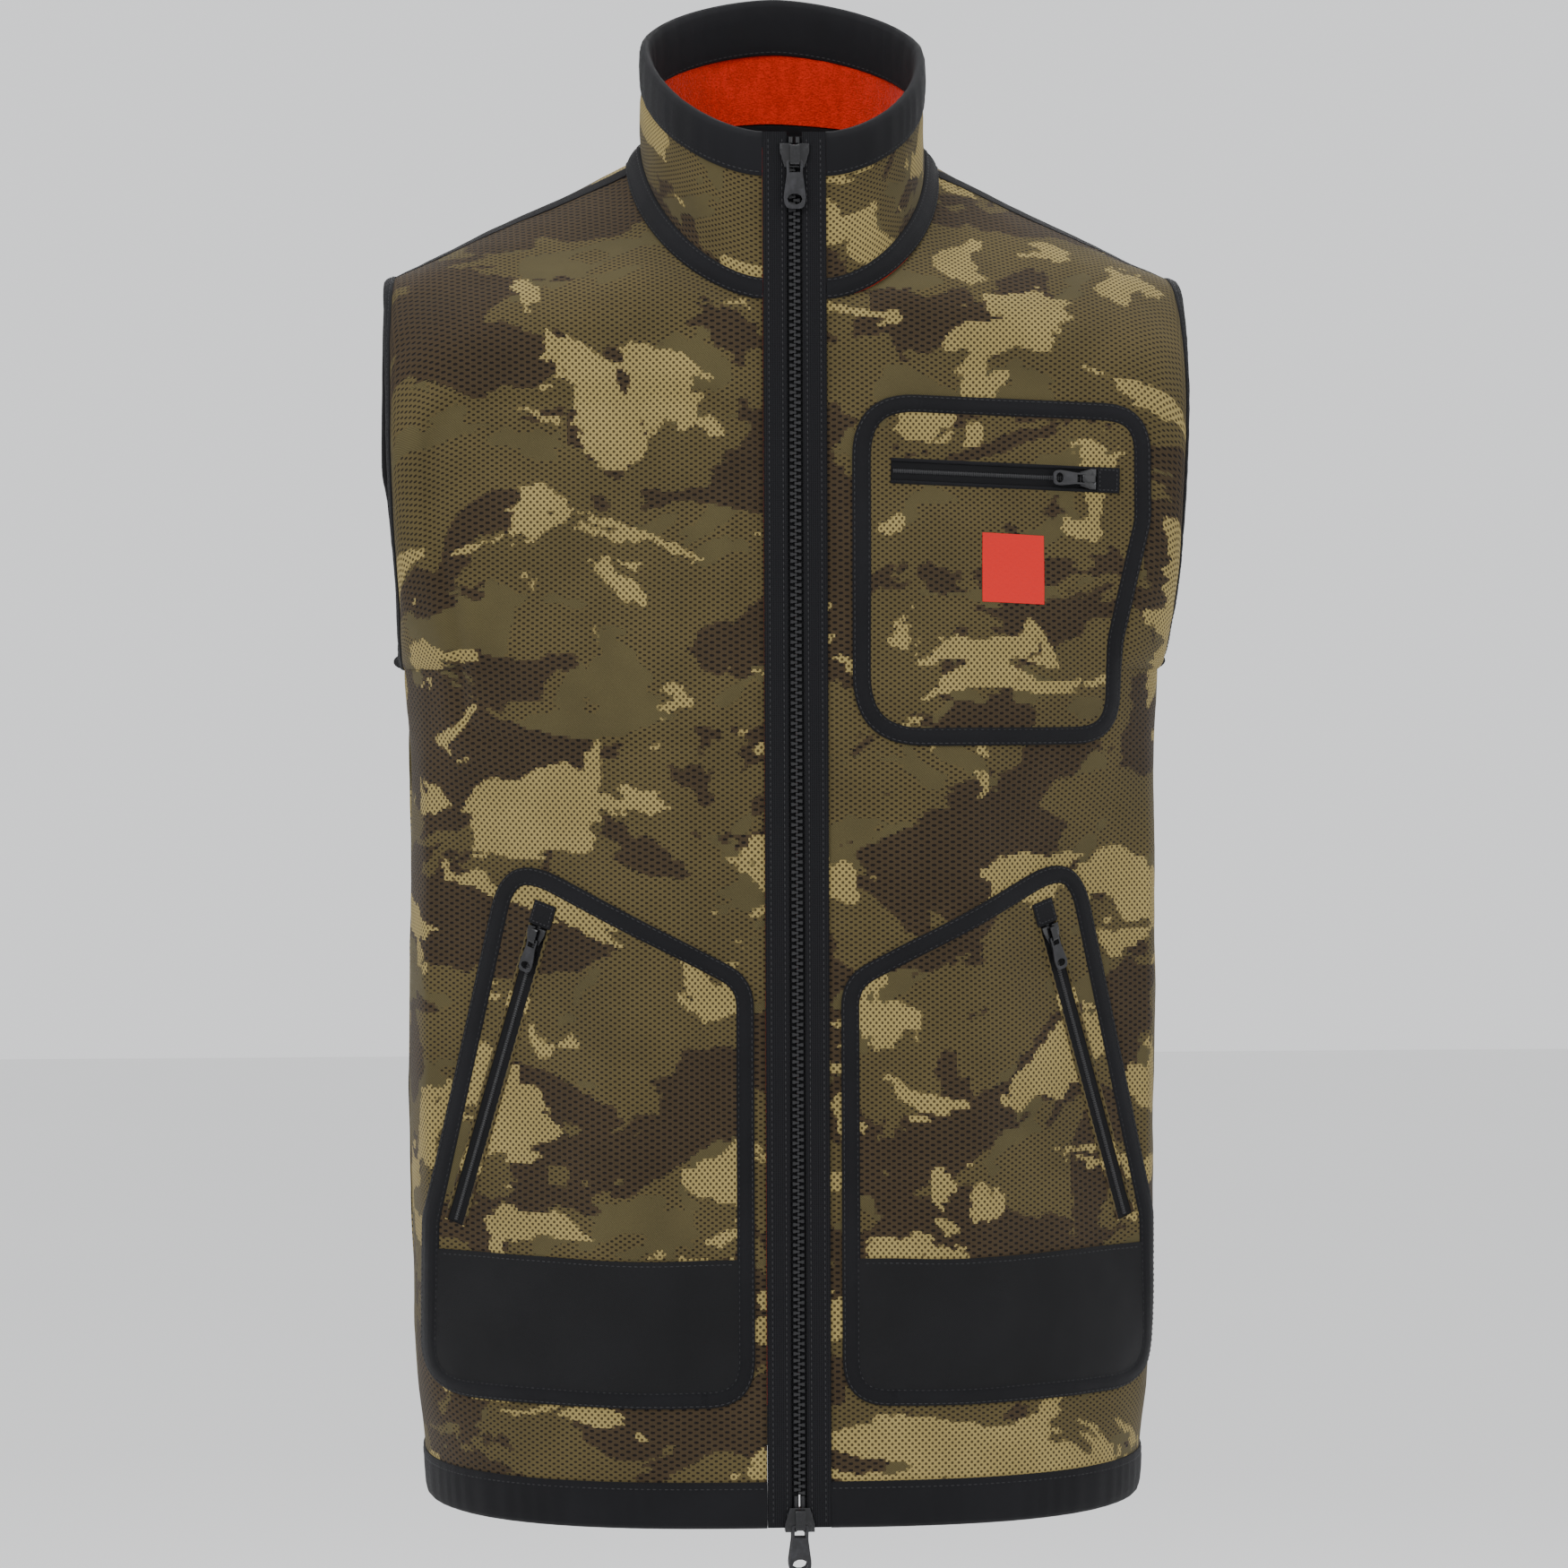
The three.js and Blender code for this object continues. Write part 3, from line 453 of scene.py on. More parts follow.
def mesh_piece(name, points, faces, places, material, body="vest", slot=None, sharp=50):
    """A mesh object in metres with a weave map, smooth but for edges sharper than this, on its body."""
    mesh = bpy.data.meshes.new(name)
    mesh.from_pydata([tuple(p) for p in points], [], faces)
    if places is not None:
        layer = mesh.uv_layers.new(name="weave")
        index = np.empty(len(mesh.loops), np.int32)
        mesh.loops.foreach_get("vertex_index", index)
        layer.data.foreach_set("uv", np.asarray(places, np.float32)[index].ravel())
    made = bmesh.new()
    made.from_mesh(mesh)
    bmesh.ops.recalc_face_normals(made, faces=made.faces)
    made.to_mesh(mesh)
    made.free()
    mesh.shade_smooth()
    mesh.set_sharp_from_angle(angle=math.radians(sharp))
    mesh.materials.append(material)
    piece = bpy.data.objects.new(name, mesh)
    bpy.context.collection.objects.link(piece)
    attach(piece, body)
    return piece


def slab(name, outer, inner, places, material, **more):
    """A slab with all its sides, between two (column, row) grids in millimetres."""
    across, up = outer.shape[:2]
    count = across * up

    def at(i, j):
        return i * up + j

    faces = []
    for i in range(across - 1):
        for j in range(up - 1):
            faces.append((at(i, j), at(i + 1, j), at(i + 1, j + 1), at(i, j + 1)))
            faces.append(tuple(count + k for k in reversed(faces[-1])))
        for j in (0, up - 1):
            faces.append((at(i, j), at(i + 1, j), count + at(i + 1, j), count + at(i, j)))
    for i in (0, across - 1):
        for j in range(up - 1):
            faces.append((at(i, j), at(i, j + 1), count + at(i, j + 1), count + at(i, j)))
    points = to_frame(np.concatenate([outer.reshape(-1, 3), inner.reshape(-1, 3)]))
    both = np.concatenate([places.reshape(-1, 2)] * 2)
    return mesh_piece(name, points, faces, both, material, **more)


# A group that fuzzes a cloth's colour and height with lint and loose fibres.
fuzz_tree, wires, source, sink = shade_group(
    "cloth_fuzz", [("Vector", "Vector", None), ("Color", "Color", None), ("Lint", "Float", 0.2)],
    [("Color", "Color"), ("Height", "Float")])
fibres = wires.speckle(source["Vector"], 1900, 3, 0.65)
clouds = wires.speckle(source["Vector"], 26, 3)
shade = wires.maths("MULTIPLY_ADD", wires.maths("SUBTRACT", fibres, 0.5), source["Lint"], 1.0)
shade = wires.maths("MULTIPLY", shade, wires.step(clouds, 0.3, 0.7, 0.9, 1.08))
wires.feed(sink["Color"], wires.vector("MULTIPLY", source["Color"], wires.place(
    "ShaderNodeCombineXYZ", 0, enumerate((shade, shade, shade)))))
wires.feed(sink["Height"], fibres)

# The camouflage knit: four yarn structures, each with its own colour, that meet along the stitches.
camo_tree, wires, source, sink = shade_group(
    "camouflage_knit", [("Vector", "Vector", None)],
    [("Color", "Color"), ("Height", "Float"), ("Roughness", "Float")])
across, up, _ = (wires.place("ShaderNodeSeparateXYZ", k, {0: source["Vector"]}) for k in range(3))
stitch = wires.vector("SNAP", source["Vector"], (0.0017, 0.0016, 1.0))


def patches(where, offset, size, low, high, detail=2.2):
    """A mask of blotches, stretched along the rows of stitches."""
    moved = wires.vector("ADD", where, offset)
    scaled = wires.vector("MULTIPLY", moved, (1 / size, 1.55 / size, 1.0))
    field = wires.place("ShaderNodeTexNoise", 0, {"Vector": scaled, "Scale": 1.0, "Detail": detail,
                                                  "Roughness": 0.55, "Distortion": 0.5})
    return wires.step(field, low, high)


def lattice(pitch_u, pitch_v, low, high, shift=0.0):
    """A mask of dots on a staggered lattice."""
    wave_u = wires.maths("COSINE", wires.maths("MULTIPLY_ADD", across, 2 * math.pi / pitch_u, shift))
    wave_v = wires.maths("COSINE", wires.maths("MULTIPLY", up, 2 * math.pi / pitch_v))
    return wires.step(wires.maths("MULTIPLY", wave_u, wave_v), low, high)


tan_part = patches(stitch, (3.1, 1.7, 0.0), 0.088, 0.56, 0.565, 4.0)
dark_part = patches(stitch, (9.4, 5.2, 0.0), 0.1, 0.52, 0.525, 4.0)
plain_part = patches(stitch, (1.2, 8.8, 0.0), 0.075, 0.56, 0.565, 3.5)
dots = lattice(0.0046, 0.0029, 0.28, 0.62)
dashes = lattice(0.0062, 0.0033, 0.22, 0.6)
basket = lattice(0.0034, 0.0034, 0.1, 0.65)
twill = wires.maths("SINE", wires.maths("MULTIPLY", wires.maths("ADD", across, up), 2 * math.pi / 0.0012))
olive = wires.blend(dots, srgb(80, 70, 43), srgb(34, 28, 18))
dark = wires.blend(dashes, srgb(58, 47, 32), srgb(21, 16, 14))
tan = wires.blend(basket, srgb(142, 126, 78), srgb(62, 52, 28))
plain = wires.blend(wires.step(twill, -1, 1), srgb(70, 63, 39), srgb(82, 74, 48))
colour = wires.blend(plain_part, olive, plain)
colour = wires.blend(dark_part, colour, dark)
colour = wires.blend(tan_part, colour, tan)
pits = wires.blend(plain_part, dots, wires.step(twill, -1, 1, 0.0, 0.25))
pits = wires.blend(dark_part, pits, dashes)
pits = wires.blend(tan_part, pits, basket)
fuzzed = camo_tree.nodes.new("ShaderNodeGroup")
fuzzed.node_tree = fuzz_tree
wires.feed(fuzzed.inputs["Vector"], source["Vector"])
wires.feed(fuzzed.inputs["Color"], colour)
fuzzed.inputs["Lint"].default_value = 0.55
wires.feed(sink["Color"], fuzzed.outputs["Color"])
wires.feed(sink["Height"], wires.maths("MULTIPLY_ADD", fuzzed.outputs["Height"], 0.35, wires.maths(
    "SUBTRACT", 1.0, pits)))
wires.feed(sink["Roughness"], wires.step(fuzzed.outputs["Height"], 0.2, 0.8, 0.82, 0.98))


def use_group(wires, tree, **inputs):
    """A group placed in a material, with these inputs: its outputs."""
    node = wires.tree.nodes.new("ShaderNodeGroup")
    node.node_tree = tree
    for label, value in inputs.items():
        wires.feed(node.inputs[label], value)
    return node.outputs


def roughen(wires, paint, height, depth, strength=0.6):
    """Raises a surface by a height map, to this many metres."""
    wires.feed(paint["Normal"], wires.place("ShaderNodeBump", 0, {
        "Height": height, "Distance": depth, "Strength": strength}))


def weave_map(wires):
    return wires.place("ShaderNodeUVMap", 0, uv_map="weave")


camo, wires, paint = finish_of("camouflage_knit", rough=0.92, sheen=0.04)
knit = use_group(wires, camo_tree, Vector=weave_map(wires))
wires.feed(paint["Base Color"], knit["Color"])
wires.feed(paint["Roughness"], knit["Roughness"])
roughen(wires, paint, knit["Height"], 0.0007, 0.75)


hands = {1: "left", -1: "right"}
halves = {(way, side): worn(way, side) for way in (-1, 1) for side in (1, -1)}
for side, hand in hands.items():
    grid, normals, places = halves[-1, side]
    front = slab(hand + "_front", grid, grid - normals * shell_thick, places, camo, slot="camo_knit")
    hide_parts(hand + "_front_shell")

# --- Back shell -------------------------------------------------------------------------------------
# The back of the outside, one piece of the same knit without a centre seam, shaped over the shoulder
# blades and sewn to the fronts at the sides and shoulders.
left_back, right_back = halves[1, 1], halves[1, -1]
neck_index = fine_rows.index(min(fine_rows, key=lambda r: abs(r - neck_row)))


def back_piece(name, offset_out, offset_in, material, slot):
    """Both halves of the back as one slab, joined down the centre as far as the neck."""
    columns, rows = range(len(fine_shares)), range(len(fine_rows))
    points, places, faces, corner = [], [], [], {}
    for half, (grid, normals, spots) in enumerate((left_back, right_back)):
        for layer, offset in enumerate((offset_out, offset_in)):
            moved = grid + normals * offset
            for i in columns:
                for j in rows:
                    shared = i == 0 and j <= neck_index
                    if shared and half:
                        corner[half, layer, i, j] = corner[0, layer, i, j]
                        continue
                    corner[half, layer, i, j] = len(points)
                    points.append((0.0, moved[i, j][1], moved[i, j][2]) if shared else moved[i, j])
                    places.append(spots[i, j])
    for half in (0, 1):
        for a, b in zip(columns, columns[1:]):
            for c, d in zip(rows, rows[1:]):
                for layer in (0, 1):
                    face = [corner[half, layer, *at] for at in ((a, c), (b, c), (b, d), (a, d))]
                    faces.append(face if (layer + half) % 2 else face[::-1])
            for j in (rows[0], rows[-1]):
                faces.append([corner[half, *at, j] for at in ((0, a), (0, b), (1, b), (1, a))])
        for c, d in zip(rows, rows[1:]):
            for i in (columns[0], columns[-1]):
                if i == 0 and c < neck_index:
                    continue
                faces.append([corner[half, layer, i, j] for layer, j in ((0, c), (0, d), (1, d), (1, c))])
    return mesh_piece(name, to_frame(points), faces, places, material, slot=slot)


back = back_piece("back", 0.0, -shell_thick, camo, "camo_knit")
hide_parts("back_shell")

# --- Linings ----------------------------------------------------------------------------------------
# The orange side: fronts and back cut to the same shapes from brushed blaze orange fleece, and turned
# in along the zip under black facings. It shows through the neck and the armholes.
fleece_tree, wires, source, sink = shade_group(
    "brushed_fleece", [("Vector", "Vector", None), ("Color", "Color", None)],
    [("Color", "Color"), ("Height", "Float")])
naps = wires.speckle(source["Vector"], 420, 4, 0.6)
tufts = wires.place("ShaderNodeTexVoronoi", 0, {"Vector": source["Vector"], "Scale": 900.0})
strokes = wires.speckle(wires.vector("MULTIPLY", source["Vector"], (1.0, 0.35, 1.0)), 160, 3)
nap = wires.maths("MULTIPLY_ADD", naps, 0.6, wires.maths("MULTIPLY", tufts, 0.5))
lit = wires.maths("MULTIPLY", wires.step(nap, 0.2, 0.8, 0.72, 1.1),
                  wires.step(strokes, 0.3, 0.7, 0.88, 1.08))
wires.feed(sink["Color"], wires.vector("MULTIPLY", source["Color"], wires.place(
    "ShaderNodeCombineXYZ", 0, enumerate((lit, lit, lit)))))
wires.feed(sink["Height"], nap)

fleece, wires, paint = finish_of("orange_fleece", rough=0.95, sheen=0.15)
nap = use_group(wires, fleece_tree, Vector=weave_map(wires), Color=srgb(192, 34, 9))
wires.feed(paint["Base Color"], nap["Color"])
roughen(wires, paint, nap["Height"], 0.0012, 0.8)

lining_out, lining_in = -1.5, -3.0
for side, hand in hands.items():
    grid, normals, places = halves[-1, side]
    lining = slab(hand + "_lining", grid + normals * lining_out, grid + normals * lining_in, places, fleece,
                  slot="orange_fleece")
    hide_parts(hand + "_front_lining")
back_inside = back_piece("back_inside", lining_out, lining_in, fleece, "orange_fleece")
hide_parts("back_lining")

# --- Hem band -----------------------------------------------------------------------------------------
# A band of plain black woven polyester folded over the lower edge of both layers and topstitched, so that
# it puckers a little along its length.
weave_tree, wires, source, sink = shade_group(
    "plain_weave", [("Vector", "Vector", None), ("Color", "Color", None), ("Pitch", "Float", 0.0005)],
    [("Color", "Color"), ("Height", "Float")])
turns = wires.maths("DIVIDE", 2 * math.pi, source["Pitch"])
warp, weft, _ = (wires.place("ShaderNodeSeparateXYZ", k, {0: source["Vector"]}) for k in range(3))
over = wires.maths("MULTIPLY", wires.maths("SINE", wires.maths("MULTIPLY", warp, turns)),
                   wires.maths("SINE", wires.maths("MULTIPLY", weft, turns)))
dust = wires.speckle(source["Vector"], 600, 4, 0.7)
worn_part = wires.speckle(source["Vector"], 18, 3)
# Painted shade: each thread crossing is lighter or darker with the weave's height, from the same over value
# as the bump. The worn-part clouds and the light dust specks are the cloth's own tone.
lit = wires.maths("MULTIPLY", wires.step(over, -1, 1, 0.8, 1.15),
                  wires.step(worn_part, 0.3, 0.7, 0.85, 1.25))
lit = wires.maths("ADD", lit, wires.step(dust, 0.62, 0.8, 0.0, 0.35))
wires.feed(sink["Color"], wires.vector("MULTIPLY", source["Color"], wires.place(
    "ShaderNodeCombineXYZ", 0, enumerate((lit, lit, lit)))))
wires.feed(sink["Height"], wires.maths("MULTIPLY_ADD", over, 0.5, dust))


def black_cloth(name, colour, pitch, depth, rough=0.72, sheen=0.02):
    """A black trim cloth with a plain weave of this pitch."""
    made, wires, paint = finish_of(name, rough=rough, sheen=sheen)
    cloth = use_group(wires, weave_tree, Vector=weave_map(wires), Color=colour, Pitch=pitch)
    wires.feed(paint["Base Color"], cloth["Color"])
    roughen(wires, paint, cloth["Height"], depth, 0.6)
    return made


trim = black_cloth("black_trim", srgb(17, 17, 20), 0.0005, 0.00025)
ripple_drift, ripple_uneven = 1.7, 0.5
flat_ripple, inside_ripple, inside_from = 0.35, 1.6, -2


def wrapped(name, low, high, facing, profile, material, closed=False, gather=0.0, wave=9.0,
            between=None, **more):
    """A strip folded over an edge: its section, as (share from low to high, stand-off) points, is carried
    along two lines, and gathered into ripples of this height and length. Between the two it may follow
    more lines and their normals, so that it lies on a curved front."""
    low, high, facing = (np.asarray(part, float) for part in (low, high, facing))
    middle = (low + high) / 2
    lengths = np.linalg.norm(np.diff(middle, axis=0), axis=1)
    run = np.concatenate([[0], np.cumsum(lengths)])
    wide = np.linalg.norm((high - low)[len(low) // 2])
    around = [0.0]
    for (a0, o0), (a1, o1) in zip(profile, profile[1:]):
        around.append(around[-1] + math.hypot((a1 - a0) * wide, o1 - o0))
    points, places = [], []
    for k in range(len(low)):
        ripple = gather * (math.sin(run[k] * 2 * math.pi / wave + ripple_drift * math.sin(run[k] * 0.11))
                           + ripple_uneven * noise.noise(Vector((run[k] * 0.05, wide, 0))))
        for (along, off), arc in zip(profile, around):
            share = min(max(along, 0), 1)
            reach = ripple * (flat_ripple + (1 - flat_ripple) * math.sin(math.pi * share))
            reach *= 1 if off > inside_from else inside_ripple
            base, out = low[k] + (high[k] - low[k]) * along, facing[k]
            if between:
                at = share * (len(between) - 1)
                near = min(int(at), len(between) - 2)
                base, out = (mixed(between[near][m][k], between[near + 1][m][k], at - near) for m in (0, 1))
            points.append(base + out * (off + reach))
            places.append((run[k] * 0.001, arc * 0.001))
    n = len(profile)
    count = len(low)
    faces = []
    for k in range(count if closed else count - 1):
        after = (k + 1) % count
        for m in range(n):
            faces.append((k * n + m, after * n + m, after * n + (m + 1) % n, k * n + (m + 1) % n))
    if not closed:
        faces.append(tuple(range(n)))
        faces.append(tuple(reversed(range((count - 1) * n, count * n))))
    return mesh_piece(name, to_frame(points), faces, places, material, **more)


def round_the_vest(grids, row):
    """One row of the four half grids, from the zip's left side round the back to its right side."""
    left, behind_left, behind_right, right = (grids[key] for key in ((-1, 1), (1, 1), (1, -1), (-1, -1)))
    parts = [left[:, row], behind_left[::-1, row][1:], behind_right[1:, row], right[::-1, row][1:]]
    return np.concatenate(parts)


hem_grids, hem_normals = {}, {}
for way in (-1, 1):
    for side in (1, -1):
        rows = np.array([[cloth_point(s, r, way) for r in (0, 1)] for s in fine_shares]) * (side, 1, 1)
        hem_grids[way, side] = rows
        hem_normals[way, side] = halves[way, side][1]
hem_low, hem_high = (round_the_vest(hem_grids, k) for k in (0, 1))
hem_facing = round_the_vest(hem_normals, 0)
hem_profile = [(1.03, -0.2), (1.03, 0.7), (0.97, 1.2), (0.86, 1.15), (0.8, 1.45), (0.5, 1.7), (0.2, 1.6),
               (0.06, 1.1), (0.0, 0.1), (-0.03, -1.4), (0.0, -2.8), (0.08, -3.9), (0.3, -4.4), (0.8, -4.2),
               (0.97, -3.8), (1.0, -3.0)]
hem_band = wrapped("hem", hem_low, hem_high, hem_facing, hem_profile, trim, gather=0.28, wave=11,
                   slot="black_trim")
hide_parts("hem_band")

# Thread, and a row of stitches of it along a line on the cloth.
thread, wires, paint = finish_of("black_thread", rough=0.5, gloss=0.35)
strand = wires.speckle(wires.place("ShaderNodeTexCoord", "Object"), 2600, 2)
wires.feed(paint["Base Color"], wires.blend(strand, srgb(12, 12, 14), srgb(34, 34, 37)))


thread_thick, thread_lift = 0.55, 0.05
# A stitch is a low ridge: its corners by shares of its half length, half thickness and height.
stitch_corners = [(-1, 0, -1), (1, 0, -1), (-0.5, 1, 0), (0.5, 1, 0), (0.5, -1, 0), (-0.5, -1, 0),
                  (-0.4, 0, 1), (0.4, 0, 1)]
stitch_faces = [(0, 2, 6), (2, 3, 7, 6), (3, 1, 7), (1, 4, 7), (4, 5, 6, 7), (5, 0, 6), (0, 5, 2),
                (5, 4, 3, 2), (4, 1, 3)]
stitch_root, stitch_crown = 0.2, thread_thick * 0.45


def stitch_row(lines, name, pitch=3.0, length=2.2):
    """One piece of all the stitches along these lines; a line is (points, normals) in millimetres."""
    points, faces = [], []
    for line, facing in lines:
        line, facing = np.asarray(line, float), np.asarray(facing, float)
        run = np.concatenate([[0], np.cumsum(np.linalg.norm(np.diff(line, axis=0), axis=1))])
        for at in np.arange(pitch / 2, run[-1], pitch):
            p, n, ahead = (np.array([np.interp(a, run, data[:, k]) for k in range(3)]) for a, data in (
                (at, line), (at, facing), (min(at + 0.5, run[-1]), line)))
            back_p = np.array([np.interp(at - 0.5, run, line[:, k]) for k in range(3)])
            along = (ahead - back_p) / max(np.linalg.norm(ahead - back_p), 1e-9)
            n = n / np.linalg.norm(n)
            across = np.cross(n, along)
            faces += [tuple(len(points) + k for k in face) for face in stitch_faces]
            for a, c, h in stitch_corners:
                high = h * (stitch_root if h < 0 else stitch_crown) + thread_lift
                points.append(p + along * (a * length / 2) + across * (c * thread_thick / 2) + n * high)
    return mesh_piece(name, to_frame(points), faces, None, thread, sharp=70)


hem_stitch_at, hem_stitch_off = 0.88, 1.15
hem_line = hem_low + (hem_high - hem_low) * hem_stitch_at + hem_facing * hem_stitch_off
stitch_row([(hem_line, hem_facing)], "hem_stitches")

# --- Collar -------------------------------------------------------------------------------------------
# A stand collar of the same knit and fleece. Black binding covers its neck seam, and a deep black band is
# folded over its top edge, gathered by the elastic inside it.
collar_steps, stand_rows, stand_high = 30, 14, 55


def neck_ring(line):
    """A line round the neck from the zip's left side round the back to its right side."""
    front, side, behind = line
    half = [neck_quarter(front, side, k / collar_steps) for k in range(collar_steps + 1)]
    half += [neck_quarter(behind, side, k / collar_steps) for k in reversed(range(collar_steps))]
    half = np.array(half)
    return np.concatenate([half, (half * (-1, 1, 1))[::-1][1:]])


rings = [neck_ring(line) for line in neck_lines]
stand = np.stack([mixed(rings[1], rings[2], t) for t in np.linspace(0, 1, stand_rows)], axis=1)
whole = np.stack(rings, axis=1)
ring_facing = facings(whole)
stand_facing = facings(stand)
for i in range(stand.shape[0]):
    for j in range(stand.shape[1]):
        p = Vector(stand[i, j]) * 0.02
        edge = hump(j, 0, 3, 10, 13) * eased(min(i, stand.shape[0] - 1 - i), 0, 3)
        stand[i, j] += stand_facing[i, j] * edge * (1.6 * noise.noise(p) + 0.5 * noise.noise(p * 3))
stand_facing = facings(stand)
stand_run = np.concatenate([[0], np.cumsum(np.linalg.norm(np.diff(rings[1], axis=0), axis=1))])
stand_places = np.stack(np.meshgrid(stand_run, np.linspace(0, stand_high, stand_rows), indexing="ij"), 2)
stand_places = stand_places * 0.001 + (1.3, 0.4)
collar = slab("collar", stand, stand - stand_facing * shell_thick, stand_places, camo, slot="camo_knit")
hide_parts("collar_shell")
collar_inside = slab("collar_inside", stand + stand_facing * lining_out, stand + stand_facing * lining_in,
                     stand_places, fleece, slot="orange_fleece")
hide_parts("collar_lining")

neck_profile = [(-0.02, -0.6), (0.0, 0.7), (0.1, 1.25), (0.2, 1.2), (0.3, 1.6), (0.5, 1.75), (0.7, 1.6),
                (0.8, 1.2), (0.92, 1.25), (1.0, 0.7), (1.02, -0.6), (1.0, -3.2), (0.8, -4.0), (0.2, -4.0),
                (0.0, -3.2)]
neck = wrapped("neck_seam_binding", rings[0], rings[1], (ring_facing[:, 0] + ring_facing[:, 1]) / 2,
               neck_profile, trim, gather=0.14, wave=7, slot="black_trim")
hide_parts("neck_binding")
band_profile = [(0.0, -0.4), (-0.01, 0.7), (0.04, 1.1), (0.1, 1.05), (0.2, 1.35), (0.5, 1.55), (0.85, 1.3),
                (0.99, 0.3), (1.03, -1.4), (0.99, -3.2), (0.85, -4.5), (0.5, -5.2), (0.0, -5.0),
                (-0.2, -4.6), (-0.31, -4.1), (-0.33, -3.2), (-0.2, -3.1), (0.0, -2.6)]
top_band = wrapped("collar_band", rings[2], rings[3], ring_facing[:, 3], band_profile, trim, gather=0.34,
                   wave=12, slot="black_trim")
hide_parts("collar_top_band")
# Three rows outside, each between two of the rings at a share of the way, and one row inside the band.
seam_lines = []
for line, share, off in ((0, 0.12, 1.25), (0, 0.9, 1.25), (2, 0.08, 1.08)):
    facing = ring_facing[:, line + 1]
    seam_lines.append((mixed(rings[line], rings[line + 1], share) + facing * off, facing))
inside_facing = -ring_facing[:, 2]
inside_share, inside_off = 0.25, 4.6
inside_line = rings[2] - (rings[3] - rings[2]) * inside_share + inside_facing * inside_off
seam_lines.append((inside_line, inside_facing))
stitch_row(seam_lines, "collar_stitches")

# --- Armhole bindings ---------------------------------------------------------------------------------
# Narrow binding of the black trim cloth, folded over both layers round each armhole, with one row of
# stitches along the knit.
armhole_binding = 6.5
armhole_middle = (armhole_base + shoulder_tip) / 2
stitch_share, stitch_off = 0.18, 1.15
armhole_profile = [(-0.05, -0.8), (-0.02, 0.7), (0.12, 1.2), (0.25, 1.1), (0.4, 1.5), (0.7, 1.4),
                   (0.92, 0.7), (1.04, -0.6), (1.05, -2.0), (0.92, -3.4), (0.7, -4.1), (0.4, -4.3),
                   (0.12, -4.0), (-0.02, -3.2)]
first = fine_rows.index(min(fine_rows, key=lambda row: abs(row - base_row)))
for side, hand in hands.items():
    front_grid, front_facing, _ = halves[-1, side]
    back_grid, back_facing, _ = halves[1, side]
    edge = np.concatenate([front_grid[-1, first:], back_grid[-1, first:][::-1][1:-1]])
    facing = np.concatenate([front_facing[-1, first:], back_facing[-1, first:][::-1][1:-1]])
    facing = facing + np.roll(facing, 1, 0) + np.roll(facing, -1, 0)
    facing /= np.linalg.norm(facing, axis=1, keepdims=True)
    rim = []
    for p, n in zip(edge, facing):
        aim = np.array([0, -p[1], armhole_middle - p[2]])
        aim /= np.linalg.norm(aim)
        aim[0] = side * 0.6
        aim -= n * (aim @ n)
        rim.append(p + aim / np.linalg.norm(aim) * armhole_binding)
    rim = np.array(rim)
    bound = wrapped(hand + "_armhole_edge", edge, rim, facing, armhole_profile, trim, closed=True,
                    gather=0.12, wave=8, slot="black_trim")
    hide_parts(hand + "_armhole_binding")
    around = np.concatenate([edge, edge[:1]]) * (1 - stitch_share)
    around += np.concatenate([rim, rim[:1]]) * stitch_share
    normals = np.concatenate([facing, facing[:1]])
    stitch_row([(around + normals * stitch_off, normals)], hand + "_armhole_stitches")

# --- Shoulder tapes -----------------------------------------------------------------------------------
# A narrow black woven tape sewn flat over each shoulder seam, to strengthen it. It is plain, with no
# lettering woven in, and its stitches aren't modelled.
tape_cloth = black_cloth("seam_tape", srgb(17, 16, 18), 0.0009, 0.0003)
tape_width, tape_over = 7, 0.4
tape_profile = [(0, 0.1), (0.02, 0.6), (0.15, 0.75), (0.85, 0.75), (0.98, 0.6), (1, 0.1)]
for side, hand in hands.items():
    grid, normals, _ = halves[-1, side]
    seam, below = grid[:-2, -1], grid[:-2, -5]
    down = below - seam
    down /= np.linalg.norm(down, axis=1, keepdims=True)
    tape = wrapped(hand + "_seam_tape", seam + down * tape_width, seam - down * tape_over, normals[:-2, -1],
                   tape_profile, tape_cloth, slot="black_trim")
    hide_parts(hand + "_shoulder_tape")

# --- Main zip -----------------------------------------------------------------------------------------
# A two-way separating zip with moulded plastic teeth on woven tapes. Each tape lies between a ribbed black
# placket and a facing, topstitched twice. It leans back with the chest.
zip_lean = math.atan(zip_slope)
zip_top = collar_front / math.cos(zip_lean)
placket_half, placket_inner, placket_over = 15.8, 4.0, 0.25
placket_out, placket_back = -1.75, -0.4
facing_from, facing_in, facing_back = 8.3, 1.1, 2.3
tape_from, tape_thick, tape_start, tape_short, edge_back = 0.35, 0.8, 4, 2, 0.5
tooth_pitch, tooth_margin, teeth_half = 3.4, 1.2, 1.3
teeth_inner, teeth_outer = 0.6, 3.0
pin_foot, pin_top, top_slider_at, slider_length, stop_height, clearance = 2, 15.7, 689, 12, 3, 0.3
# The placket's two rows of stitches, from its inner and outer edges, and the facing's row, from the zip.
inner_row, outer_row, facing_row, seam_end = 2.2, 2.6, 11.8, 2
zip_matrix = np.array([[1, 0, 0], [0, math.cos(zip_lean), math.sin(zip_lean)],
                       [0, -math.sin(zip_lean), math.cos(zip_lean)]])


def on_zip(points):
    """From the zip's own frame, z up the zip and -y out of the vest, to millimetres above the hem."""
    return np.asarray(points, float) @ zip_matrix.T + (0, -front_depth, 0)


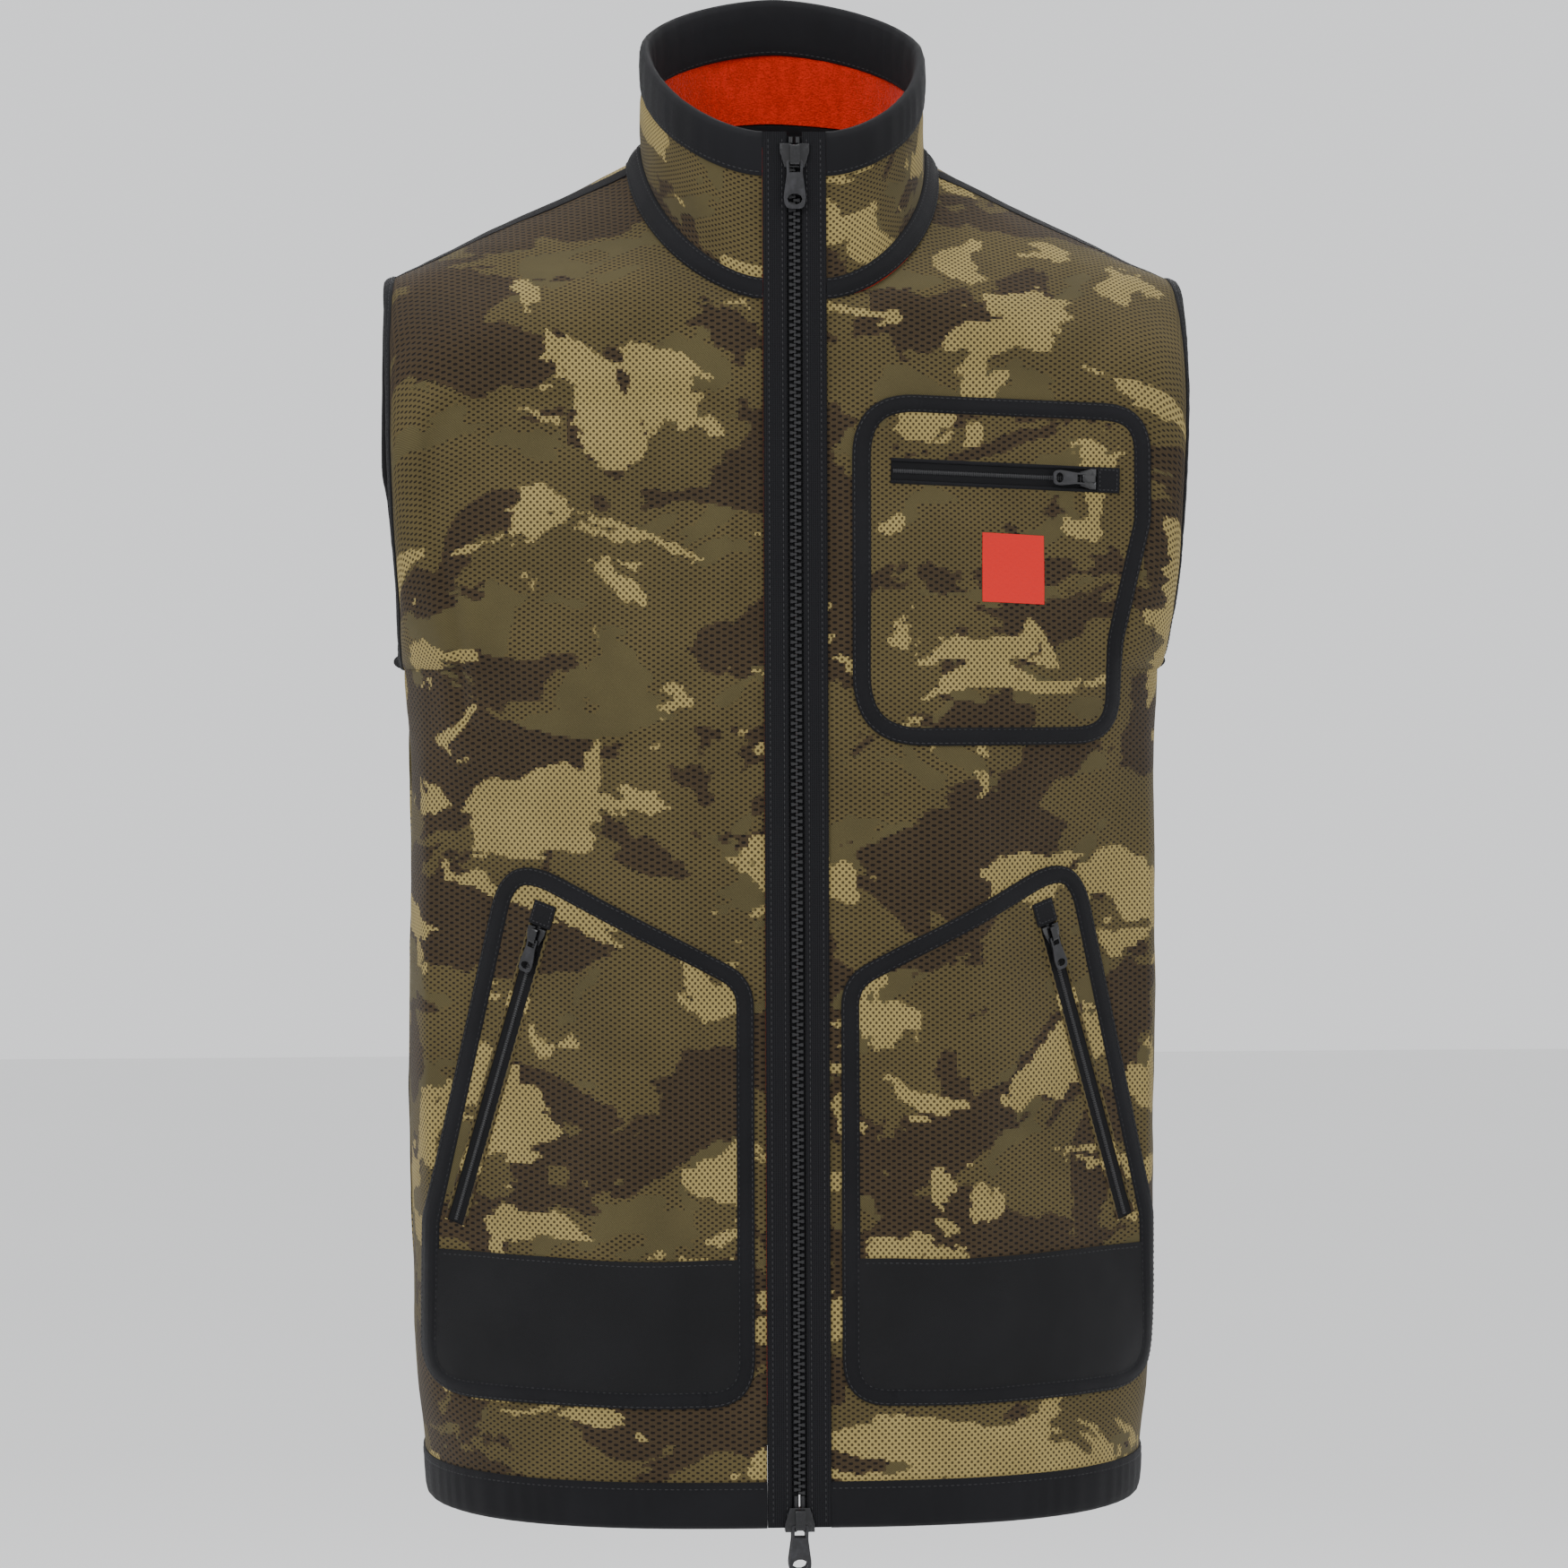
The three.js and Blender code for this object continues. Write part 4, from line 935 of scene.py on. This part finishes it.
ribbed, wires, paint = finish_of("ribbed_knit", rough=0.86, sheen=0.03)
where = weave_map(wires)
across, up, _ = (wires.place("ShaderNodeSeparateXYZ", k, {0: where}) for k in range(3))
rib = wires.maths("SINE", wires.maths("MULTIPLY", up, 2 * math.pi / 0.0011))
purl = wires.maths("SINE", wires.maths("MULTIPLY_ADD", across, 2 * math.pi / 0.0008, wires.maths(
    "MULTIPLY", rib, 1.2)))
lint = wires.speckle(where, 900, 3, 0.6)
height = wires.maths("ADD", wires.maths("MULTIPLY_ADD", rib, 0.7, wires.maths("MULTIPLY", purl, 0.4)), lint)
# Painted shade: the colour is darker in the grooves between the ribs and purls and lighter on their crests,
# taken from the same height as the bump, with random lint mixed in.
wires.feed(paint["Base Color"], wires.blend(wires.step(height, -0.8, 1.8), srgb(9, 9, 11), srgb(27, 27, 30)))
roughen(wires, paint, height, 0.0003, 0.55)

zip_woven = black_cloth("zip_tape_weave", srgb(13, 13, 15), 0.0007, 0.0003)
moulded, wires, paint = finish_of("moulded_teeth", rough=0.42, coat=0.1, gloss=0.4)
where = wires.place("ShaderNodeTexCoord", "Object")
grime = wires.speckle(where, 700, 3)
wires.feed(paint["Base Color"], wires.blend(grime, srgb(10, 10, 12), srgb(24, 24, 27)))
wires.feed(paint["Roughness"], wires.step(grime, 0.3, 0.7, 0.34, 0.55))
roughen(wires, paint, wires.speckle(where, 2200, 2), 0.00006, 0.4)

tooth_outline = [(teeth_outer, 1.05), (1.5, 1.0), (1.15, 0.72), (0.5, 0.7), (0.1, 0.86), (-0.35, 0.8),
                 (-0.55, 0.4)]
tooth_outline += [(x, -z) for x, z in reversed(tooth_outline)]
tooth_rings = [(-1.3, 0.8), (-1.02, 1.0), (1.02, 1.0), (1.3, 0.8)]
tooth_middle = 1.4


def tooth(side, height):
    """One moulded tooth: its points and faces."""
    points = [(side * (tooth_middle + (x - tooth_middle) * size), y, height + z * size)
              for y, size in tooth_rings for x, z in tooth_outline]
    n = len(tooth_outline)
    faces = [tuple(range(n)), tuple(range(3 * n, 4 * n))]
    for ring in range(3):
        for k in range(n):
            after = (k + 1) % n
            faces.append((ring * n + k, ring * n + after, (ring + 1) * n + after, (ring + 1) * n + k))
    return points, faces


def strip(name, side, width, depth, rise, material, slot, bulge, steps=90, **more):
    """A flat strip along the zip with rounded long edges, by its spans in the zip's frame: width outwards
    from the middle, depth inwards and rise up."""
    (x0, x1), (y0, y1) = width, depth
    heights = np.linspace(*rise, steps)
    nil = np.zeros(steps)
    low = on_zip(np.stack([nil + side * x0, nil, heights], 1))
    high = on_zip(np.stack([nil + side * x1, nil, heights], 1))
    facing = np.tile(zip_matrix @ (0, -1, 0), (steps, 1))
    curve = min(bulge, (y1 - y0) / 2)
    edge = curve / (x1 - x0)
    profile = [(0, -y0 - curve), (edge * 0.4, -y0 - curve * 0.25), (edge * 1.4, -y0), (1 - edge * 1.4, -y0),
               (1 - edge * 0.4, -y0 - curve * 0.25), (1, -y0 - curve), (1, -y1 + curve), (1 - edge, -y1),
               (edge, -y1), (0, -y1 + curve)]
    return wrapped(name, low, high, facing, profile, material, slot=slot, **more)


teeth_top = top_slider_at + slider_length / 2 + clearance
tooth_span = ((teeth_inner, teeth_outer), (-teeth_half, teeth_half))
for side, hand in hands.items():
    points, faces = [], []
    start = pin_top + clearance + tooth_margin + (0 if side > 0 else tooth_pitch / 2)
    for height in np.arange(start, teeth_top - tooth_margin, tooth_pitch):
        more_points, more_faces = tooth(side, height)
        faces += [tuple(len(points) + k for k in face) for face in more_faces]
        points += more_points
    chain = mesh_piece(hand + "_chain", to_frame(on_zip(points)), faces, None, moulded, slot="zip_plastic",
                       sharp=35)
    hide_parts(hand + "_zip_teeth")
    pin = strip(hand + "_pin", side, *tooth_span, (pin_foot, pin_top), moulded, "zip_plastic", 0.9, 6)
    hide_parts(hand + "_zip_pin")
    stop_span = (teeth_top + clearance, teeth_top + clearance + stop_height)
    stop = strip(hand + "_stop", side, *tooth_span, stop_span, moulded, "zip_plastic", 0.7, 4)
    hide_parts(hand + "_zip_top_stop")
    tape = strip(hand + "_tape", side, (tape_from, placket_half - edge_back), (0, tape_thick),
                 (tape_start, zip_top - tape_short), zip_woven, "zip_tape", 0.2)
    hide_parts(hand + "_zip_tape")
    placket = strip(hand + "_zip_placket", side, (placket_inner, placket_half + placket_over),
                    (placket_out, placket_back), (0, zip_top), ribbed, "black_trim", 0.5, 260,
                    gather=0.07, wave=8.5)
    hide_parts(hand + "_placket")
    facing_strip = strip(hand + "_facing", side, (facing_from, placket_half - edge_back),
                         (facing_in, facing_back), (0, zip_top), trim, "black_trim", 0.4, 160,
                         gather=0.06, wave=9.5)
    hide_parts(hand + "_zip_facing")
    heights = np.linspace(seam_end, zip_top - seam_end, 120)
    outwards = np.tile(zip_matrix @ (0, -1, 0), (len(heights), 1))
    seams = []
    for x, y, way in ((placket_inner + inner_row, placket_out, 1),
                      (placket_half - outer_row, placket_out, 1), (facing_row, facing_back, -1)):
        line = on_zip(np.stack([heights * 0 + side * x, heights * 0 + y, heights], 1))
        seams.append((line, outwards * way))
    stitch_row(seams, hand + "_placket_stitches")

# --- Sliders and pulls --------------------------------------------------------------------------------
# Die-cast sliders in black enamel and moulded pulls with a finger hole: one above and one below on the main
# zip, the lower with a pull on each face, and a smaller pair on each pocket.
enamel, wires, paint = finish_of("black_enamel", rough=0.36, metallic=0.35, coat=0.3, gloss=0.45)
where = wires.place("ShaderNodeTexCoord", "Object")
chips = wires.speckle(where, 1500, 4, 0.6)
rub = wires.place("ShaderNodeNewGeometry", "Pointiness")
worn_edge = wires.maths("MULTIPLY", wires.step(rub, 0.52, 0.62), wires.step(chips, 0.45, 0.62))
wires.feed(paint["Base Color"], wires.blend(worn_edge, srgb(14, 14, 16), srgb(80, 80, 84)))
wires.feed(paint["Roughness"], wires.step(chips, 0.3, 0.7, 0.3, 0.46))
roughen(wires, paint, chips, 0.00005, 0.35)

pull_plastic, wires, paint = finish_of("moulded_pull", rough=0.48, coat=0.1, gloss=0.4)
where = wires.place("ShaderNodeTexCoord", "Object")
grain = wires.speckle(where, 3000, 2)
scuffs = wires.speckle(where, 240, 4, 0.65)
scuffed = wires.step(scuffs, 0.4, 0.75)
wires.feed(paint["Base Color"], wires.blend(scuffed, srgb(18, 18, 21), srgb(40, 40, 44)))
wires.feed(paint["Roughness"], wires.step(scuffs, 0.3, 0.7, 0.42, 0.6))
roughen(wires, paint, grain, 0.00006, 0.5)


def softened(node, size):
    """The frame's own part again, with its edges eased as a mould leaves them."""
    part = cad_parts[node]
    made = bmesh.new()
    made.from_mesh(part.data)
    bmesh.ops.remove_doubles(made, verts=made.verts, dist=1e-5)
    bmesh.ops.dissolve_limit(made, angle_limit=math.radians(2), verts=made.verts, edges=made.edges)
    corners = [e for e in made.edges if len(e.link_faces) == 2 and e.calc_face_angle() > math.radians(25)]
    bmesh.ops.bevel(made, geom=corners, offset=size, segments=2, profile=0.6, affect="EDGES",
                    clamp_overlap=True)
    mesh = bpy.data.meshes.new(node + "_moulding")
    made.to_mesh(mesh)
    made.free()
    mesh.shade_smooth()
    mesh.set_sharp_from_angle(angle=math.radians(40))
    return mesh


main_softness, pocket_softness = 0.00028, 0.0002
zips = {"top": ("top_slider", ["top_pull"]),
        "bottom": ("bottom_slider", ["bottom_front_pull", "bottom_back_pull"])}
for pocket in ("left_hand_pocket", "right_hand_pocket", "chest_pocket", "inner_pocket"):
    zips[pocket] = (pocket + "_zip_slider", [pocket + "_zip_pull"])
for place, (slider, pulls) in zips.items():
    size = main_softness if place in ("top", "bottom") else pocket_softness
    mouldings = [(slider, enamel, "slider_metal")] + [(pull, pull_plastic, "pull_plastic") for pull in pulls]
    for node, material, slot in mouldings:
        piece = bpy.data.objects.new(node + "_moulded", softened(node, size))
        bpy.context.collection.objects.link(piece)
        piece.data.materials.append(material)
        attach(piece, node + "_body")
        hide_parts(node)

# --- Patch pockets --------------------------------------------------------------------------------------
# A chest pocket and two hand pockets of the same knit laid on the fronts, edged with black binding that is
# folded over the raw edge and topstitched. Each has a slot for its zip with the knit turned under.
pocket_binding = 9
slot_half = 5.2
garage_length, garage_half, slot_end = 12, 6.5, 0.7
panel_low, panel_thick, panel_high = 0.3, 1.2, 2.4
cell, cell_margin = 2.6, 3


def front_tree(side):
    """The worn front's outer face for ray casts."""
    grid = halves[-1, side][0]
    across, up = grid.shape[:2]
    faces = [(i * up + j, (i + 1) * up + j, (i + 1) * up + j + 1, i * up + j + 1)
             for i in range(across - 1) for j in range(up - 1)]
    return BVHTree.FromPolygons([tuple(p) for p in grid.reshape(-1, 3)], faces)


front_trees = {side: front_tree(side) for side in (1, -1)}


ahead_of_vest, aside, tries = -500, 0.5, 31


def on_front(side, spots, off=0.0, nudge=2.5):
    """Where these (x, height) spots lie on a front, this far off it: (points, normals). x is to the wearer's
    left. A spot past the front's edge takes the nearest place towards the zip."""
    tree = front_trees[side]

    def strike(x, z):
        hit = tree.ray_cast(Vector((x, ahead_of_vest, z)), Vector((0, 1, 0)))
        return (hit[0], hit[1]) if hit[0] else (None, None)

    points, normals = [], []
    for x, z in spots:
        for step in range(tries):
            reach = x - aside * side * step
            found, facing = strike(reach, z)
            if found is not None:
                break
        left, right, low, high = (strike(*at)[0] for at in (
            (reach - nudge, z), (reach + nudge, z), (reach, z - nudge), (reach, z + nudge)))
        if left and right and low and high:
            facing = (right - left).cross(high - low).normalized()
        if facing.y > 0:
            facing = -facing
        points.append(found)
        normals.append(facing)
    points, normals = np.array(points), np.array(normals)
    return points + normals * np.reshape(off, (-1, 1)), normals


def zip_axes(line, plane, side, lift=0.0, inward=False):
    """A pocket zip's frame, x from its closed end to its open end and -y out: (matrix, length)."""
    start, at, slope = plane
    facing = Vector((side * slope, -1, math.tan(zip_lean))).normalized()
    ends = [Vector((x * side, zip_depth(z) + start + slope * (x - at), z)) + facing * lift
            for x, z in line]
    along = (ends[1] - ends[0]).normalized()
    depth = facing * (1 if inward else -1)
    matrix = Matrix((along, depth, along.cross(depth))).transposed().to_4x4()
    matrix.translation = ends[0]
    return np.array(matrix), (ends[1] - ends[0]).length


def placed(matrix, points):
    points = np.asarray(points, float)
    return points @ matrix[:3, :3].T + matrix[:3, 3]


def within(spots, outline):
    """Which spots lie inside a closed outline."""
    x, z = spots[:, 0][:, None], spots[:, 1][:, None]
    x0, z0 = outline[:, 0], outline[:, 1]
    x1, z1 = np.roll(x0, -1), np.roll(z0, -1)
    crosses = (z0 > z) != (z1 > z)
    with np.errstate(divide="ignore", invalid="ignore"):
        reach = x0 + (z - z0) * (x1 - x0) / (z1 - z0)
    return np.sum(crosses & (x < reach), axis=1) % 2 == 1


def near_outline(spots, outline):
    return np.sqrt(((spots[:, None] - outline[None]) ** 2).sum(2).min(1))


def puff(spots, outline, line, side):
    """How far a pocket's knit stands off the front, away from its edges and its zip."""
    found = []
    edges = near_outline(spots, outline)
    for (x, z), edge in zip(spots, edges):
        rise = panel_high * (0.7 + 0.5 * noise.noise(Vector((x * 0.012, z * 0.012, side * 3.0))))
        rise += 0.7 * noise.noise(Vector((x * 0.04, z * 0.03, side * 8.0)))
        found.append(rise * eased(edge, 8, 40) * eased(off_line(x * side, z, line), 8, 30))
    return np.array(found)


def cut_cloth(name, side, spots, keep, lows, highs, material, **more):
    """A slab on the front from the kept cells of a (column, row) grid of spots; lows and highs are how far
    its two faces stand off."""
    across, up = spots.shape[:2]
    flat_spots = spots.reshape(-1, 2)
    touched = np.zeros((across, up), bool)
    for i, j in ((0, 0), (1, 0), (0, 1), (1, 1)):
        touched[i:across - 1 + i, j:up - 1 + j] |= keep
    touched = touched.ravel()
    face_points, normals = np.zeros((2, across * up, 3))
    face_points[touched], normals[touched] = on_front(side, flat_spots[touched])
    points = np.concatenate([face_points + normals * np.reshape(highs, (-1, 1)),
                             face_points + normals * np.reshape(lows, (-1, 1))])
    count = across * up
    faces, edges = [], {}
    for i in range(across - 1):
        for j in range(up - 1):
            if not keep[i, j]:
                continue
            ring = (i * up + j, (i + 1) * up + j, (i + 1) * up + j + 1, i * up + j + 1)
            faces.append(ring)
            faces.append(tuple(count + k for k in reversed(ring)))
            for a, b in zip(ring, ring[1:] + ring[:1]):
                if (b, a) in edges:
                    del edges[b, a]
                else:
                    edges[a, b] = True
    faces += [(b, a, count + a, count + b) for a, b in edges]
    used = sorted({k for face in faces for k in face})
    index = {k: n for n, k in enumerate(used)}
    places = np.concatenate([flat_spots, flat_spots])[used] * (1.12, 1) * 0.001 + (side * 2.9, 0.7)
    faces = [tuple(index[k] for k in face) for face in faces]
    return mesh_piece(name, to_frame(points[used]), faces, places, material, **more)


def panel_grid(matrix, length, outline):
    """Spots in rows along the zip over the outline, and which cells are cloth rather than slot."""
    inverse = np.linalg.inv(matrix[:3, :3])
    tall = np.stack([outline[:, 0], np.zeros(len(outline)), outline[:, 1]], 1)
    slot_from, slot_to = slot_end - garage_length, length + clearance
    pitch = (slot_to - slot_from) / round((slot_to - slot_from) / cell)
    far = np.abs((tall - matrix[:3, 3]) @ inverse.T).max() * 1.1
    before, after = int((far + slot_from) / pitch) + 2, int((far - slot_to) / pitch) + 2
    along = slot_from + pitch * np.arange(-before, round((slot_to - slot_from) / pitch) + after + 1)
    sides = int(far / cell) + 2
    across = cell * np.arange(-sides, sides + 1)
    grid = np.array([[(u, 0, v) for v in across] for u in along])
    spots = placed(matrix, grid.reshape(-1, 3)).reshape(grid.shape)[..., [0, 2]]
    middle = (spots[:-1, :-1] + spots[1:, 1:]) / 2
    keep = within(middle.reshape(-1, 2), inset(outline, cell_margin)).reshape(middle.shape[:2])
    centres = (grid[:-1, :-1] + grid[1:, 1:]) / 2
    u, v = centres[..., 0], centres[..., 2]
    slot = (u > slot_from) & (u < slot_to) & (np.abs(v) < slot_half)
    return spots, keep & ~slot, (slot_from, slot_to)


binding_profile = [(0.0, 0.05), (0.0, 0.9), (0.08, 1.6), (0.18, 1.7), (0.34, 2.35), (0.55, 2.65),
                   (0.74, 2.5), (0.83, 2.1), (0.93, 2.15), (1.0, 1.6), (1.0, 0.7), (0.5, 0.1)]
binding_lines = 7
lip_profile = [(0.0, -0.5), (0.0, 0.5), (0.25, 1.0), (0.6, 1.0), (1.0, 0.4), (1.0, -0.5)]
lip_over, lip_under, lip_sunk = 1.3, 0.5, 0.25


def patch_pocket(name, corners, line, plane, side):
    """The panel, its binding, its turned slot edges and their stitches; returns the panel's outline."""
    matrix, length = zip_axes(line, plane, side)
    outline = evened(rounded_outline(corners) * (side, 1), 230)
    spots, keep, (slot_from, slot_to) = panel_grid(matrix, length, outline)
    rise = puff(spots.reshape(-1, 2), outline, line, side)
    panel = cut_cloth(name + "_knit", side, spots, keep, rise * 0.9 + panel_low,
                      rise + panel_low + panel_thick, camo, slot="pocket_fabric")
    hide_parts(name + "_panel")
    lines = [on_front(side, inset(outline, pocket_binding * share))
             for share in np.linspace(0, 1, binding_lines)]
    (low, facing), (high, inner_facing) = lines[0], lines[-1]
    edging = wrapped(name + "_edge", low, high, (facing + inner_facing) / 2, binding_profile, trim,
                     closed=True, gather=0.1, wave=8, between=lines, slot="black_trim")
    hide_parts(name + "_binding")
    stitch_rings = []
    for share, off in ((0.13, 1.7), (0.88, 2.0)):
        ring, up = on_front(side, inset(outline, pocket_binding * share), off)
        stitch_rings.append((np.concatenate([ring, ring[:1]]), np.concatenate([up, up[:1]])))
    stitch_row(stitch_rings, name + "_stitches")
    lip_cloth = trim if name == "chest_pocket" else camo
    run = np.linspace(slot_from, slot_to, 60)
    out = run * 0 - panel_low - panel_thick + lip_sunk
    up = np.tile(matrix[:3, :3] @ (0, -1, 0), (len(run), 1))
    for edge, which in ((1, "_upper"), (-1, "_lower")):
        near = placed(matrix, np.stack([run, out, run * 0 + edge * (slot_half - lip_under)], 1))
        away = placed(matrix, np.stack([run, out, run * 0 + edge * (slot_half + lip_over)], 1))
        wrapped(name + which + "_lip", near, away, up, lip_profile, lip_cloth, gather=0.05, wave=6)
    return outline, matrix, length


pockets = {}
for side, hand in hands.items():
    name = hand + "_hand_pocket"
    pockets[name] = patch_pocket(name, hand_outline, hand_zip, hip_flat, side)
pockets["chest_pocket"] = patch_pocket("chest_pocket", chest_outline, chest_zip, chest_flat, 1)

# --- Pocket reinforcements ------------------------------------------------------------------------------
# A tough plain nylon facing over the foot of each hand pocket, caught in the binding and stitched along its
# folded top edge. It carries no lettering here.
foot_base, foot_top, foot_inner, foot_outer, foot_cell, foot_inset = 54, 134, 18, 196, 2.5, 6
foot_gap, foot_edge, foot_crown = 0.05, 0.45, 0.25
foot_row, foot_row_lift = 2.4, 0.7
nylon = black_cloth("black_nylon", srgb(14, 14, 16), 0.00045, 0.00018, rough=0.56, sheen=0.01)
for side, hand in hands.items():
    name = hand + "_hand_pocket"
    outline = pockets[name][0]
    columns = np.arange(foot_inner, foot_outer, foot_cell) * side
    rows = np.linspace(foot_base, foot_top, 33)
    spots = np.array([[(x, z) for z in rows] for x in columns])
    middle = (spots[:-1, :-1] + spots[1:, 1:]) / 2
    keep = within(middle.reshape(-1, 2), inset(outline, foot_inset)).reshape(middle.shape[:2])
    flat_spots = spots.reshape(-1, 2)
    creases = np.array([0.25 * noise.noise(Vector((x * 0.09, z * 0.06, 4))) for x, z in flat_spots])
    edge_fall = np.array([eased(d, 6, 12) for d in near_outline(flat_spots, outline)])
    low = puff(flat_spots, outline, hand_zip, side) + panel_low + panel_thick + foot_gap
    high = low + foot_edge + (foot_crown + creases) * edge_fall
    patch = cut_cloth(name + "_foot", side, spots, keep, low, high, nylon, slot="black_trim")
    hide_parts(name + "_reinforcement")
    level = np.array([(x, foot_top - foot_row) for x in columns])
    level = level[within(level, inset(outline, pocket_binding))]
    lift = puff(level, outline, hand_zip, side) + panel_low + panel_thick + foot_row_lift
    stitch_row([on_front(side, level, lift)], name + "_foot_stitches")

# --- Chest patch ----------------------------------------------------------------------------------------
# A plain patch of red film, heat-pressed on the chest pocket below its zip, and thin enough to take the
# knit's texture.
patch_middle, patch_half, patch_lean = (110.5, 480), (16, 17.5), 0.8
patch_columns, patch_rows, film_sunk, film_proud = 17, 18, 0.1, 0.28
film, wires, paint = finish_of("red_film", rough=0.5, gloss=0.25)
where = weave_map(wires)
flecks = wires.speckle(where, 900, 3, 0.6)
wires.feed(paint["Base Color"], wires.blend(flecks, srgb(186, 16, 11), srgb(204, 24, 17)))
wires.feed(paint["Roughness"], wires.step(flecks, 0.3, 0.7, 0.42, 0.62))
knit = use_group(wires, camo_tree, Vector=where)
roughen(wires, paint, wires.maths("MULTIPLY_ADD", knit["Height"], 0.6, flecks), 0.0003, 0.4)
outline = pockets["chest_pocket"][0]
spots = np.array([
    [(patch_middle[0] + u * patch_half[0], patch_middle[1] + v * patch_half[1] - u * patch_lean)
     for v in np.linspace(-1, 1, patch_rows)] for u in np.linspace(-1, 1, patch_columns)])
rise = puff(spots.reshape(-1, 2), outline, chest_zip, 1) + panel_low + panel_thick
whole_patch = np.ones((patch_columns - 1, patch_rows - 1), bool)
patch = cut_cloth("red_patch", 1, spots, whole_patch, rise - film_sunk, rise + film_proud, film,
                  slot="patch")
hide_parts("chest_patch")

# --- Pocket zips ----------------------------------------------------------------------------------------
# A coil zip in each slot: black woven tape, a nylon coil along its middle, and a stitched fabric garage over
# the closed end, from under which the slider comes.
coil_half, coil_high, coil_in, coil_pitch, coil_sunk = 1.3, 0.75, -1.3, 1.15, 0.05
coil_rings = [(-0.48, 0.8), (-0.2, 1.0), (0.2, 1.0), (0.48, 0.8)]
tape_out, tape_in = -1.3, -0.4
garage_out, garage_in, garage_seam = -2.75, -1.85, 1.4


def tape_strip(name, matrix, span, half, outer, inner, material, node, slot, bulge=0.25, steps=50, **more):
    """A strip in a pocket zip's frame, x along it, with rounded long edges."""
    run = np.linspace(*span, steps)
    nil = run * 0
    low = placed(matrix, np.stack([run, nil, nil - half], 1))
    high = placed(matrix, np.stack([run, nil, nil + half], 1))
    up = np.tile(matrix[:3, :3] @ (0, -1, 0), (steps, 1))
    edge = bulge / (2 * half)
    profile = [(0, -outer - bulge), (edge, -outer - bulge * 0.2), (edge * 3, -outer), (1 - edge * 3, -outer),
               (1 - edge, -outer - bulge * 0.2), (1, -outer - bulge), (1, -inner), (0, -inner)]
    piece = wrapped(name, low, high, up, profile, material, slot=slot, **more)
    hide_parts(node)


def pocket_zip(name, matrix, length, outside):
    """The tape and the coil; a pocket on the outside has a garage too."""
    tape_strip(name + "_tape", matrix, (1 - garage_length, length), slot_half - clearance, tape_out, tape_in,
               zip_woven, name + "_zip_tape", "zip_tape")
    points, faces = [], []
    section = [(math.cos(a) * coil_half, math.sin(a) * coil_high) for a in np.linspace(0, math.pi, 7)]
    n = len(section)
    for at in np.arange(clearance + 0.5, length - 1, coil_pitch):
        base = len(points)
        for u, size in coil_rings:
            points += [(at + u, coil_in - y * size + coil_sunk, z * size) for z, y in section]
        for ring in range(base, base + 3 * n, n):
            for k in range(n):
                after = (k + 1) % n
                faces.append((ring + k, ring + after, ring + n + after, ring + n + k))
        faces.append(tuple(base + k for k in range(n)))
        faces.append(tuple(base + 3 * n + k for k in reversed(range(n))))
    coil = mesh_piece(name + "_coil", to_frame(placed(matrix, points)), faces, None, moulded,
                      slot="zip_plastic")
    if outside:
        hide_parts(name + "_zip_coil")
        tape_strip(name + "_garage", matrix, (-garage_length, 0), garage_half, garage_out, garage_in, trim,
                   name + "_zip_garage", "black_trim", 0.4, 14)
        far, near, half = garage_seam - garage_length, -garage_seam, garage_half - garage_seam
        corners = [(far, half), (far, -half), (near, -half), (near, half), (far, half)]
        line = placed(matrix, [(u, garage_out, v) for u, v in corners])
        up = np.tile(matrix[:3, :3] @ (0, -1, 0), (len(corners), 1))
        stitch_row([(line, up)], name + "_garage_stitches", pitch=2.2, length=1.7)


for name, (_, matrix, length) in pockets.items():
    pocket_zip(name, matrix, length, True)

# --- Inner pocket ---------------------------------------------------------------------------------------
# The chest pocket of the orange side, cut from the same fleece and sewn to the lining behind the wearer's
# right chest. Its zip faces inwards, to be used when the vest is turned.
matrix, length = zip_axes(chest_zip, chest_flat, -1, lining_in, True)
outline = evened(rounded_outline(chest_outline) * (-1, 1), 200)
spots, keep, _ = panel_grid(matrix, length, outline)
inner_high = lining_in - clearance
inner_low = inner_high - panel_thick
inner_panel = cut_cloth("inner_pocket_fleece", -1, spots, keep, inner_low, inner_high, fleece,
                        slot="orange_fleece")
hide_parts("inner_pocket_panel")
inner_seam = 5
rim = inset(outline, inner_seam)
ring, facing = on_front(-1, np.concatenate([rim, rim[:1]]), inner_low)
stitch_row([(ring, -facing)], "inner_pocket_stitches")
pocket_zip("inner_pocket", matrix, length, False)
